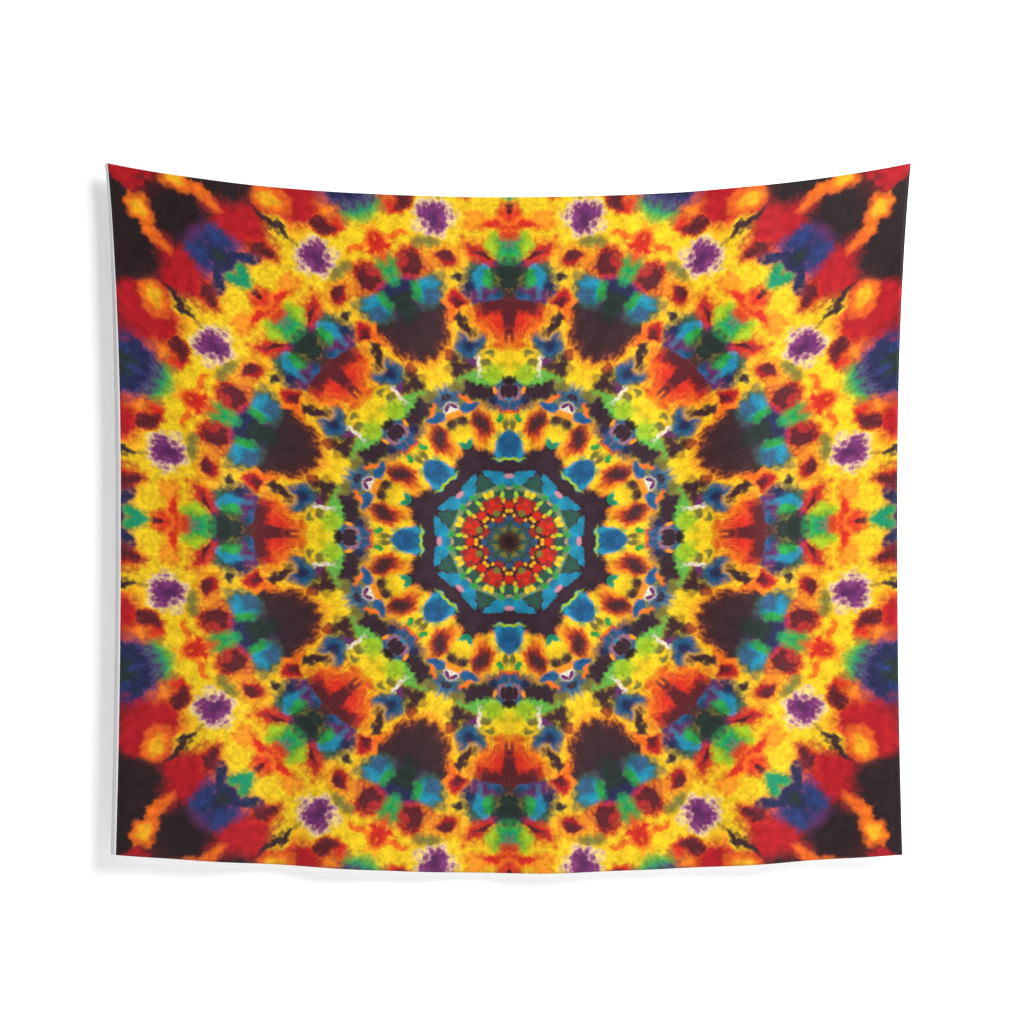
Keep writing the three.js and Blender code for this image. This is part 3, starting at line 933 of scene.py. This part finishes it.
    def _mottle(self, hand: NodeHand, colour: object, folded: object) -> bpy.types.NodeSocket:
        """The dye's uneven depth: it pools in small, darker patches."""
        pool = hand.noise(folded, 1.0 / self.POOL_SIZE, 4.0, 0.65).outputs[0]
        depth = hand.ease(pool, 0.66, 0.34)
        shade = hand.mix(depth, self.CLEAR_TINT, self.POOL_TINT)
        return hand.mix(1.0, colour, shade, "MULTIPLY")


# ---- finishes -------------------------------------------------------------------------------------------


class Groups:
    """The shader effects that several finishes share."""

    def __init__(self) -> None:
        """Builds each group once."""
        self.weave = self._weave()
        self.wear = self._wear()

    @staticmethod
    def _weave() -> bpy.types.NodeTree:
        """A plain weave's height, from a flat place in millimetres."""
        hand, given, result = new_group(
            "cloth_weave",
            {
                "Place": ("NodeSocketVector", None),
                "Pitch": ("NodeSocketFloat", 0.5),
                "Slant": ("NodeSocketFloat", 0.0),
            },
            {"Height": "NodeSocketFloat", "Gap": "NodeSocketFloat"},
        )
        x, y, _ = hand.parts(given.outputs["Place"])
        turn = hand.math("DIVIDE", 2.0 * math.pi, given.outputs["Pitch"])
        across = hand.math("MULTIPLY", hand.math("MULTIPLY_ADD", y, given.outputs["Slant"], x), turn)
        down = hand.math("MULTIPLY", y, turn)
        warp = hand.math("MULTIPLY", hand.math("SINE", across), hand.math("SINE", down))
        height = hand.math("MULTIPLY_ADD", warp, 0.5, 0.5)
        gaps = hand.math("MULTIPLY", hand.math("COSINE", across), hand.math("COSINE", down))
        hand.feed(result.inputs["Height"], height)
        hand.feed(result.inputs["Gap"], hand.ease(hand.math("ABSOLUTE", gaps), 0.7, 1.0))
        return hand.tree

    @staticmethod
    def _wear() -> bpy.types.NodeTree:
        """Slow, slight changes of tone and roughness, from a flat place in millimetres."""
        hand, given, result = new_group(
            "slight_wear",
            {"Place": ("NodeSocketVector", None), "Size": ("NodeSocketFloat", 120.0)},
            {"Tone": "NodeSocketFloat", "Creases": "NodeSocketFloat"},
        )
        place = hand.vector("SCALE", given.outputs["Place"], hand.math("DIVIDE", 1.0, given.outputs["Size"]))
        tone = hand.noise(place, 1.0, 4.0, 0.6)
        crease = hand.noise(place, 2.7, 5.0, 0.55)
        crease.noise_type = "RIDGED_MULTIFRACTAL"
        hand.feed(result.inputs["Tone"], tone.outputs[0])
        hand.feed(result.inputs["Creases"], crease.outputs[0])
        return hand.tree


@dataclass(frozen=True)
class Finish:
    """A woven or spun finish of one plain colour."""

    name: str
    colour: tuple[float, float, float]
    roughness: float = 0.75
    pitch: float = 0.5  # millimetres from thread to thread
    slant: float = 0.0
    relief: float = 0.00004
    sheen: float = 0.1
    specular: float = 0.5

    def colour_socket(self, hand: NodeHand, place: object) -> object:
        """The finish's colour before weave and wear."""
        return linear(self.colour)

    def material(self, groups: Groups) -> bpy.types.Material:
        """Builds the finish's material."""
        material = bpy.data.materials.new(self.name)
        material.use_nodes = True
        material.diffuse_color = linear(self.colour)
        hand = NodeHand(material.node_tree)
        shader = material.node_tree.nodes["Principled BSDF"]
        place = hand.node("ShaderNodeAttribute", attribute_name=FLAT_PLACE).outputs["Vector"]
        weave = place_group(hand, groups.weave, Place=place, Pitch=self.pitch, Slant=self.slant)
        wear = place_group(hand, groups.wear, Place=place)
        colour = self.colour_socket(hand, place)
        tone = hand.mix(wear.outputs["Tone"], WORN_TINT, grey(1.0))
        gap = hand.mix(weave.outputs["Gap"], grey(1.0), grey(GAP_TONE))
        dyed = hand.mix(1.0, hand.mix(1.0, colour, tone, "MULTIPLY"), gap, "MULTIPLY")
        hand.feed(shader.inputs["Base Color"], dyed)
        rough = hand.math(
            "MULTIPLY_ADD", wear.outputs["Tone"], ROUGHNESS_SPREAD, self.roughness - ROUGHNESS_SPREAD / 2.0
        )
        hand.feed(shader.inputs["Roughness"], rough)
        shader.inputs["Sheen Weight"].default_value = self.sheen
        shader.inputs["Sheen Roughness"].default_value = 0.5
        shader.inputs["Specular IOR Level"].default_value = self.specular
        woven = hand.bump(weave.outputs["Height"], 0.6, self.relief)
        creased = hand.bump(wear.outputs["Creases"], 0.25, CREASE_DEPTH, woven)
        hand.feed(shader.inputs["Normal"], creased)
        return material


@dataclass(frozen=True)
class PrintedFinish(Finish):
    """The print's face, with the white of the unprinted margin along the left fold."""

    mandala: Mandala | None = None
    depth: float = 1.0  # how much of the print shows

    def colour_socket(self, hand: NodeHand, place: object) -> object:
        """The print over the white cloth, by the share that shows on this side."""
        across, _, _ = hand.parts(place)
        margin = self.mandala.shape.print_margin / MM
        edge = hand.noise(place, 0.5, 2.0).outputs[0]
        inside = hand.math("MULTIPLY_ADD", edge, 0.5, hand.math("SUBTRACT", across, margin))
        printed = hand.math("MULTIPLY", hand.ease(inside, 0.0, 0.5), self.depth)
        shown = place_group(hand, self.mandala.group, Place=place)
        return hand.mix(printed, linear(self.colour), shown.outputs[0])


@dataclass(frozen=True)
class WallFinish:
    """A pale studio surface, which shows only from its near side and lets rear lights through."""

    name: str
    tone: float
    glow: float

    def material(self) -> bpy.types.Material:
        """Builds the surface's material."""
        material = bpy.data.materials.new(self.name)
        material.use_nodes = True
        hand = NodeHand(material.node_tree)
        shader = material.node_tree.nodes["Principled BSDF"]
        grain = hand.noise(hand.node("ShaderNodeTexCoord").outputs["Object"], 40.0, 3.0).outputs[0]
        tone = hand.mix(grain, grey(self.tone - GRAIN_TONE), grey(self.tone + GRAIN_TONE))
        hand.feed(shader.inputs["Base Color"], tone)
        shader.inputs["Roughness"].default_value = 0.95
        shader.inputs["Specular IOR Level"].default_value = 0.0
        shader.inputs["Emission Color"].default_value = grey(1.0)
        shader.inputs["Emission Strength"].default_value = self.glow
        far_side = hand.node("ShaderNodeNewGeometry").outputs["Backfacing"]
        shadow = hand.node("ShaderNodeLightPath").outputs["Is Shadow Ray"]
        solid = hand.math("SUBTRACT", 1.0, hand.math("MAXIMUM", far_side, shadow))
        hand.feed(shader.inputs["Alpha"], solid)
        return material


# ---- the pieces -----------------------------------------------------------------------------------------


def attach(piece: bpy.types.Object, body: str, slot: str, *nodes: str) -> bpy.types.Object:
    """Rides a piece on its body and lets it stand for its CAD nodes."""
    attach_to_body(piece, body)
    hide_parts(*nodes)
    LOG.info("%s: %d faces on %s", piece.name, len(piece.data.polygons), body)
    return piece


@dataclass
class PrintedPanel:
    """The cloth itself: one closed skin, printed on its front."""

    shape: ClothShape
    cell: float = 0.009
    bend_cell: float = 0.0015

    def across(self) -> np.ndarray:
        """Flat stations from the left fold, close together where the margin bends."""
        shape = self.shape
        straight = shape.print_margin - shape.margin_bend
        bend = np.arange(straight, shape.print_margin, self.bend_cell)
        lead = np.linspace(0.0, straight, 4)[:-1]
        count = round((shape.width - shape.print_margin) / self.cell) + 1
        return np.concatenate([lead, bend, np.linspace(shape.print_margin, shape.width, count)])

    def down(self) -> np.ndarray:
        """Flat stations from the top fold."""
        return np.linspace(0.0, self.shape.drop, round(self.shape.drop / self.cell) + 1)

    def build(self, face: bpy.types.Material, reverse: bpy.types.Material) -> bpy.types.Object:
        """Makes the panel with its two sides' finishes."""
        us, vs = np.meshgrid(self.across(), self.down())
        rows, columns = us.shape
        half = self.shape.thickness / 2.0
        front = self.shape.layer(us, vs, -half).reshape(-1, 3)
        back = self.shape.layer(us, vs, half).reshape(-1, 3)
        flat = flat_millimetres(us, vs)
        count = rows * columns
        near = grid_faces(rows, columns, 0, flip=False)
        far = grid_faces(rows, columns, count, flip=True)
        rim = rim_faces(rows, columns, count)
        slots = [0] * len(near) + [1] * len(far) + [0] * len(rim)
        piece = make_piece(
            "panel_cloth",
            np.concatenate([front, back]),
            near + far + rim,
            [face, reverse],
            slots,
            np.concatenate([flat, flat]),
        )
        return attach(piece, "cloth", "printed_cloth", "printed_panel")


@dataclass
class Hem:
    """One turned hem: a rounded band of folded cloth on the panel's back."""

    shape: ClothShape
    side: str
    along: np.ndarray  # flat stations down the hem's length
    across: tuple[float, float]  # its two edges, as flat distances
    upright: bool
    cell: float = 0.0016

    def profile(self) -> list[tuple[float, float]]:
        """The band's section: flat distances across it, and distances behind the cloth."""
        start, end = self.across
        radius = self.shape.hem_thickness / 2.0
        middle = self.shape.hem_front + radius
        count = max(4, round((end - start) / self.cell)) if self.upright else 7
        flats = np.linspace(start + radius, end - radius, count)
        puff = 0.18 * MM * np.sin(np.linspace(0.0, math.pi, count)) ** 2
        near = [(place, middle - radius) for place in flats]
        far = [(place, middle + radius - dip) for place, dip in zip(flats[::-1], puff)]
        angles = np.linspace(-math.pi / 2.0, math.pi / 2.0, 5)[1:-1]
        outer = [(end - radius + radius * math.cos(a), middle + radius * math.sin(a)) for a in angles]
        inner = [(start + radius - radius * math.cos(a), middle - radius * math.sin(a)) for a in angles]
        return near + outer + far + inner

    def build(self, material: bpy.types.Material) -> bpy.types.Object:
        """Makes the hem."""
        section = np.array(self.profile())
        along, cross = np.meshgrid(self.along, section[:, 0], indexing="ij")
        behind = np.broadcast_to(section[:, 1], cross.shape)
        us, vs = (cross, along) if self.upright else (along, cross)
        rings = self.shape.layer(us, vs, behind)
        points, faces = sweep(rings)
        flat = flat_millimetres(us, vs)
        piece = make_piece(f"{self.side}_hem_band", points, faces, [material], flat_places=flat)
        return attach(piece, "cloth", "white_cloth", f"hem_{self.side}")


@dataclass
class Seam:
    """One hem's lockstitch: a needle thread on the front and a bobbin thread on the back."""

    shape: ClothShape
    side: str
    start: tuple[float, float]  # flat places of the two ends
    end: tuple[float, float]
    stitch: float = 0.0036
    radius: float = 0.0002
    steps_per_stitch: int = 4
    sides: int = 5

    def thread(self, name: str, middle: float, lift: float, material: bpy.types.Material) -> bpy.types.Object:
        """Makes one continuous thread that rises and dips once in each stitch.

        Args:
            name: the piece's name.
            middle: the thread's mean distance behind the cloth's middle surface.
            lift: how far it swings about that distance.
            material: the thread's finish.
        """
        length = math.dist(self.start, self.end)
        stitches = max(1, round(length / self.stitch))
        count = stitches * self.steps_per_stitch + 1
        share = np.linspace(0.0, 1.0, count)
        us = lerp(self.start[0], self.end[0], share)
        vs = lerp(self.start[1], self.end[1], share)
        phase = np.cos(share * stitches * 2.0 * math.pi)
        path = self.shape.layer(us, vs, middle + lift * phase)
        thickness = self.radius * (1.0 - 0.28 * phase)
        along = unit(np.gradient(path, axis=0))
        normal = self.shape.normals(us, vs)
        side = unit(np.cross(along, normal))
        angles = np.arange(self.sides) * 2.0 * math.pi / self.sides
        spokes = (
            side[:, None] * np.cos(angles)[None, :, None]
            + normal[:, None] * np.sin(angles)[None, :, None]
        )
        points, faces = sweep(path[:, None] + thickness[:, None, None] * spokes)
        flat = flat_millimetres(np.repeat(us, self.sides), np.repeat(vs, self.sides))
        return make_piece(name, points, faces, [material], flat_places=flat)

    def build(self, needle: bpy.types.Material, bobbin: bpy.types.Material) -> list[bpy.types.Object]:
        """Makes both threads."""
        shape = self.shape
        room = shape.layer_gap + self.radius
        lift = 0.3 * self.radius
        front = self.thread(
            f"{self.side}_needle_stitches", -shape.thickness / 2.0 - room, lift, needle
        )
        back = self.thread(f"{self.side}_bobbin_stitches", shape.hem_back + room, -lift, bobbin)
        return [
            attach(front, "cloth", "sewing_thread", f"needle_thread_{self.side}"),
            attach(back, "cloth", "sewing_thread", f"bobbin_thread_{self.side}"),
        ]


@dataclass
class HangingLoop:
    """One loop of twill tape that hangs from a nail, with the bar tack that holds it to the hem."""

    shape: ClothShape
    name: str
    middle: float  # where the nail sits
    opening: float = 0.014
    tape_thickness: float = 0.0006
    thread_thickness: float = 0.0004
    root_drop: float = 0.0025
    bend_share: float = 0.75
    tack_height: float = 0.002
    tack_overhang: float = 0.003
    leg_steps: int = 26
    arch_steps: int = 30

    @property
    def arch_radius(self) -> float:
        """From the arch's centre to the tape's middle."""
        return self.opening / 2.0 + self.tape_thickness / 2.0

    def leg(self, x: float) -> tuple[np.ndarray, np.ndarray]:
        """One leg's centre line from its root to its head, and the tape's width directions."""
        shape = self.shape
        edge = shape.layer(
            np.asarray(shape.flat_from_x(x)), np.asarray(shape.hem_width), np.asarray(shape.hem_back)
        )
        clear = 2.0 * shape.layer_gap + self.thread_thickness + self.tape_thickness / 2.0
        root = np.array([x, edge[1] + clear, edge[2] - self.root_drop])
        share = np.linspace(0.0, 1.0, self.leg_steps)
        depth = lerp(root[1], 0.0, smooth(share / self.bend_share))
        height = lerp(root[2], -self.opening / 2.0, share)
        twist = smooth((share - 1.0 + self.bend_share) / self.bend_share) * math.pi / 2.0
        line = np.stack([np.full_like(share, x), depth, height], axis=-1)
        width = np.stack([np.cos(twist), np.sin(twist), np.zeros_like(share)], axis=-1)
        return line, width

    def path(self) -> tuple[np.ndarray, np.ndarray]:
        """The whole tape's centre line and width directions, from root to root."""
        left, left_width = self.leg(self.middle - self.arch_radius)
        right, right_width = self.leg(self.middle + self.arch_radius)
        angles = np.linspace(math.pi, 0.0, self.arch_steps + 1)[1:-1]
        arch = np.stack(
            [
                self.middle + self.arch_radius * np.cos(angles),
                np.zeros_like(angles),
                self.arch_radius * np.sin(angles) - self.opening / 2.0,
            ],
            axis=-1,
        )
        arch_width = np.tile([0.0, 1.0, 0.0], (len(angles), 1))
        line = np.concatenate([left, arch, right[::-1]])
        width = np.concatenate([left_width, arch_width, right_width[::-1]])
        return line, width

    def section(self) -> np.ndarray:
        """The tape's section: across its width and through its thickness, with round selvedges."""
        half = self.shape.tape_width / 2.0
        radius = self.tape_thickness / 2.0
        flats = np.linspace(radius - half, half - radius, 9)
        angles = np.linspace(-math.pi / 2.0, math.pi / 2.0, 6)[1:-1]
        right = [(half - radius + radius * math.cos(a), radius * math.sin(a)) for a in angles]
        left = [(radius - half - radius * math.cos(a), -radius * math.sin(a)) for a in angles]
        under = [(place, -radius) for place in flats]
        over = [(place, radius) for place in flats[::-1]]
        return np.array(under + right + over + left)

    def build(self, tape: bpy.types.Material) -> bpy.types.Object:
        """Makes the loop."""
        line, width = self.path()
        along = unit(np.gradient(line, axis=0))
        width = unit(width - along * np.sum(width * along, axis=-1, keepdims=True))
        through = np.cross(width, along)
        section = self.section()
        rings = (
            line[:, None]
            + width[:, None] * section[None, :, :1]
            + through[:, None] * section[None, :, 1:]
        )
        points, faces = sweep(rings)
        steps = np.linalg.norm(np.diff(line, axis=0), axis=-1)
        lengths = np.concatenate([[0.0], np.cumsum(steps)])
        flat = flat_millimetres(np.tile(section[:, 0], len(line)), np.repeat(lengths, len(section)))
        piece = make_piece(f"{self.name}_loop_tape", points, faces, [tape], flat_places=flat)
        return attach(piece, f"loop_{self.name}", "loop_tape", f"hanging_loop_{self.name}")

    def build_tack(self, thread: bpy.types.Material) -> bpy.types.Object:
        """Makes the bar tack: a close zigzag of thread across the hem's inner edge."""
        shape = self.shape
        radius = self.thread_thickness / 2.0
        reach = self.arch_radius + shape.tape_width / 2.0 + self.tack_overhang - radius
        low = shape.hem_width - shape.layer_gap - radius
        high = low - self.tack_height + 2.0 * radius
        turns = round(2.0 * reach / (1.3 * radius * 2.0))
        corners = np.linspace(
            shape.flat_from_x(self.middle - reach), shape.flat_from_x(self.middle + reach), turns
        )
        us = np.repeat(corners, 3)
        vs = np.tile([low, (low + high) / 2.0, high, high, (low + high) / 2.0, low], turns)[: len(us)]
        depth = shape.hem_back + shape.layer_gap + radius
        path = shape.layer(us, vs, depth)
        rings = round_rod(path, np.array([0.0, 1.0, 0.0]), radius, 6)
        points, faces = sweep(rings)
        flat = np.stack([points[:, 0], points[:, 2], points[:, 1]], axis=-1) / MM
        piece = make_piece(f"{self.name}_bar_tack", points, faces, [thread], flat_places=flat)
        return attach(piece, "cloth", "sewing_thread", f"loop_tack_{self.name}")


@dataclass
class CareLabel:
    """A blank folded label, caught at one edge beside the left hem."""

    shape: ClothShape
    width: float = 0.042
    height: float = 0.028
    thickness: float = 0.0004
    rise: float = 0.190
    edge_gap: float = 0.001
    curl: float = 0.0004

    def build(self, material: bpy.types.Material) -> bpy.types.Object:
        """Makes the label: two plies with their fold at the free end."""
        shape = self.shape
        level = shape.drop - self.rise
        start = shape.hem_width + self.edge_gap
        ends = shape.layer(np.array([start, start + self.width]), np.array([level, level]), shape.hem_back)
        root, tip = ends
        bearing = math.atan2(tip[1] - root[1], tip[0] - root[0])
        out = np.array([math.cos(bearing), math.sin(bearing), 0.0])
        through = np.array([-math.sin(bearing), math.cos(bearing), 0.0])
        ply = self.thickness * 0.42
        radius = self.thickness / 2.0
        far = self.width - radius
        reach = np.linspace(0.0, far, 22)
        angles = np.linspace(-math.pi / 2.0, math.pi / 2.0, 7)[1:-1]
        front = [(place, -radius) for place in reach]
        fold = [(far + radius * math.cos(a), radius * math.sin(a)) for a in angles]
        back = [(place, radius) for place in reach[::-1]]
        inner_back = [(place, radius - ply) for place in reach[:-1]]
        inner_front = [(place, ply - radius) for place in reach[-2::-1]]
        outline = np.array(front + fold + back + inner_back + inner_front)
        levels = np.linspace(-self.height / 2.0, self.height / 2.0, 15)
        place = np.broadcast_to(outline[:, 0], (len(levels), len(outline)))
        depth = np.broadcast_to(outline[:, 1], place.shape)
        lift = np.repeat(levels[:, None], len(outline), axis=1)
        share = place / self.width
        wave = self.curl * share**2 * np.cos(lift / self.height * math.pi)
        rings = (
            root
            + place[..., None] * out
            + (depth + wave)[..., None] * through
            + lift[..., None] * np.array([0.0, 0.0, 1.0])
        )
        points, faces = sweep(rings)
        flat = np.stack([place, lift, depth], axis=-1).reshape(-1, 3) / MM
        piece = make_piece("blank_care_label", points, faces, [material], flat_places=flat)
        return attach(piece, "label", "label_tape", "care_label")


@dataclass
class Tapestry:
    """The whole wall hanging."""

    shape: ClothShape
    groups: Groups = field(default_factory=Groups)
    loop_inset: float = 0.044

    def finishes(self) -> dict[str, bpy.types.Material]:
        """Builds every finish by name."""
        mandala = Mandala(self.shape)
        white = (240, 240, 241)
        reverse = (224, 224, 226)
        kinds = {
            "face": PrintedFinish(
                "printed_face", white, roughness=0.5, sheen=0.0, specular=0.18, mandala=mandala
            ),
            "reverse": PrintedFinish("cloth_reverse", reverse, mandala=mandala, depth=0.16),
            "hem": Finish("hem_cloth", reverse),
            "needle": PrintedFinish(
                "needle_thread", (206, 170, 120), sheen=0.02, specular=0.3, mandala=mandala, depth=0.9
            ),
            "bobbin": Finish("bobbin_thread", (232, 231, 228), pitch=0.3, slant=0.6, relief=0.00003),
            "tape": Finish("twill_tape", (236, 235, 231), pitch=0.7, slant=1.0, relief=0.00008),
            "label": Finish("label_satin", (238, 238, 240), roughness=0.4, pitch=0.4, relief=0.00002),
        }
        return {name: kind.material(self.groups) for name, kind in kinds.items()}

    def hems(self, panel: PrintedPanel) -> list[Hem]:
        """The four hems, laid out as the CAD model has them."""
        shape = self.shape
        across = panel.across()
        down = panel.down()
        clear = shape.hem_width + shape.layer_gap
        inside = down[(down > clear) & (down < shape.drop - clear)]
        sides = np.concatenate([[clear], inside, [shape.drop - clear]])
        low = shape.drop - shape.hem_width
        right = shape.width - shape.hem_width
        return [
            Hem(shape, "top", across, (0.0, shape.hem_width), upright=False),
            Hem(shape, "bottom", across, (low, shape.drop), upright=False),
            Hem(shape, "left", sides, (0.0, shape.hem_width), upright=True),
            Hem(shape, "right", sides, (right, shape.width), upright=True),
        ]

    def seams(self) -> list[Seam]:
        """The four seams. The side ones start clear of the top and bottom ones."""
        shape = self.shape
        inset = shape.seam_offset
        low = shape.drop - inset
        right = shape.width - inset
        clear = inset + 0.55 * MM
        return [
            Seam(shape, "top", (inset, inset), (right, inset)),
            Seam(shape, "bottom", (inset, low), (right, low)),
            Seam(shape, "left", (inset, clear), (inset, shape.drop - clear)),
            Seam(shape, "right", (right, clear), (right, shape.drop - clear)),
        ]

    def build(self) -> None:
        finish = self.finishes()
        layout = PrintedPanel(self.shape)
        panel = layout.build(finish["face"], finish["reverse"])
        sewn = [hem.build(finish["hem"]) for hem in self.hems(layout)]
        for seam in self.seams():
            sewn += seam.build(finish["needle"], finish["bobbin"])
        reach = self.shape.half_span - self.loop_inset
        for name, middle in (("left", -reach), ("right", reach)):
            loop = HangingLoop(self.shape, name, middle)
            loop.build(finish["tape"])
            sewn.append(loop.build_tack(finish["bobbin"]))
        CareLabel(self.shape).build(finish["label"])


# ---- the studio -----------------------------------------------------------------------------------------


@dataclass
class Studio:
    """The wall, floor, lights and camera."""

    wall_depth: float = 0.040
    floor_height: float = -2.6
    half_width: float = 6.0
    eye: tuple[float, float, float] = (0.007, -6.2, -0.855)
    frame_width: float = 2.56
    sensor: float = 36.0
    key_place: tuple[float, float, float] = (4.5, -4.1, 2.6)
    key_power: float = 640.0
    rear_place: tuple[float, float, float] = (-1.5, 5.0, 1.5)
    rear_power: float = 50.0
    light_size: float = 3.0
    light_aim: tuple[float, float, float] = (0.0, 0.0, -0.86)
    surroundings: float = 0.22

    def sheet(self, name: str, corners: list[tuple[float, float, float]], finish: WallFinish) -> None:
        """Makes one flat stage surface from its corners."""
        piece = make_piece(name, np.array(corners), [(0, 1, 2, 3)], [finish.material()], closed=False)

    def build_surfaces(self) -> None:
        """Makes the wall and the floor."""
        side, depth, floor = self.half_width, self.wall_depth, self.floor_height
        wall = [(-side, depth, floor), (side, depth, floor), (side, depth, side), (-side, depth, side)]
        ground = [(-side, -2 * side, floor), (side, -2 * side, floor)]
        ground += [(side, 2 * side, floor), (-side, 2 * side, floor)]
        self.sheet("studio_wall", wall, WallFinish("wall_paint", tone=0.84, glow=0.27))
        self.sheet("studio_floor", ground, WallFinish("floor_paint", tone=0.8, glow=0.1))

    def light(self, name: str, place: tuple[float, float, float], power: float) -> None:
        """Adds a square soft light that faces the middle of the cloth."""
        data = bpy.data.lights.new(name, "AREA")
        data.size = self.light_size
        data.energy = power
        lamp = bpy.data.objects.new(name, data)
        bpy.context.scene.collection.objects.link(lamp)
        lamp.location = place
        aim = np.array(self.light_aim) - np.array(place)
        lamp.rotation_mode = "QUATERNION"
        lamp.rotation_quaternion = Vector(aim).to_track_quat("-Z", "Y")

    def build_lights(self) -> None:
        """Adds the key from the upper right, a weak rear light and the pale surroundings."""
        self.light("key_light", self.key_place, self.key_power)
        self.light("rear_light", self.rear_place, self.rear_power)
        world = bpy.data.worlds.new("studio_world")
        world.use_nodes = True
        background = world.node_tree.nodes["Background"]
        background.inputs["Color"].default_value = grey(1.0)
        background.inputs["Strength"].default_value = self.surroundings
        bpy.context.scene.world = world

    def build_camera(self) -> None:
        """Puts the camera square to the wall, where it frames the cloth."""
        data = bpy.data.cameras.new("camera")
        data.sensor_width = self.sensor
        data.lens = self.sensor * -self.eye[1] / self.frame_width
        camera = bpy.data.objects.new("camera", data)
        bpy.context.scene.collection.objects.link(camera)
        camera.location = self.eye
        camera.rotation_euler = (math.pi / 2.0, 0.0, 0.0)
        bpy.context.scene.camera = camera

    def build(self) -> None:
        """Makes the camera first, then the surfaces and lights."""
        self.build_camera()
        self.build_surfaces()
        self.build_lights()
        bpy.context.scene.view_settings.view_transform = "Standard"


def measured_shape() -> ClothShape:
    """The cloth's shape, with its half span and corner height taken from the CAD panel's box."""
    low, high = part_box("printed_panel")
    return ClothShape(half_span=float(high[0]), corner_height=float(high[2]))


def main() -> None:
    """Builds the studio and the tapestry on the loaded frame."""
    logging.basicConfig(level=logging.INFO)
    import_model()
    Studio().build()
    Tapestry(measured_shape()).build()


if __name__ == "__main__":
    main()
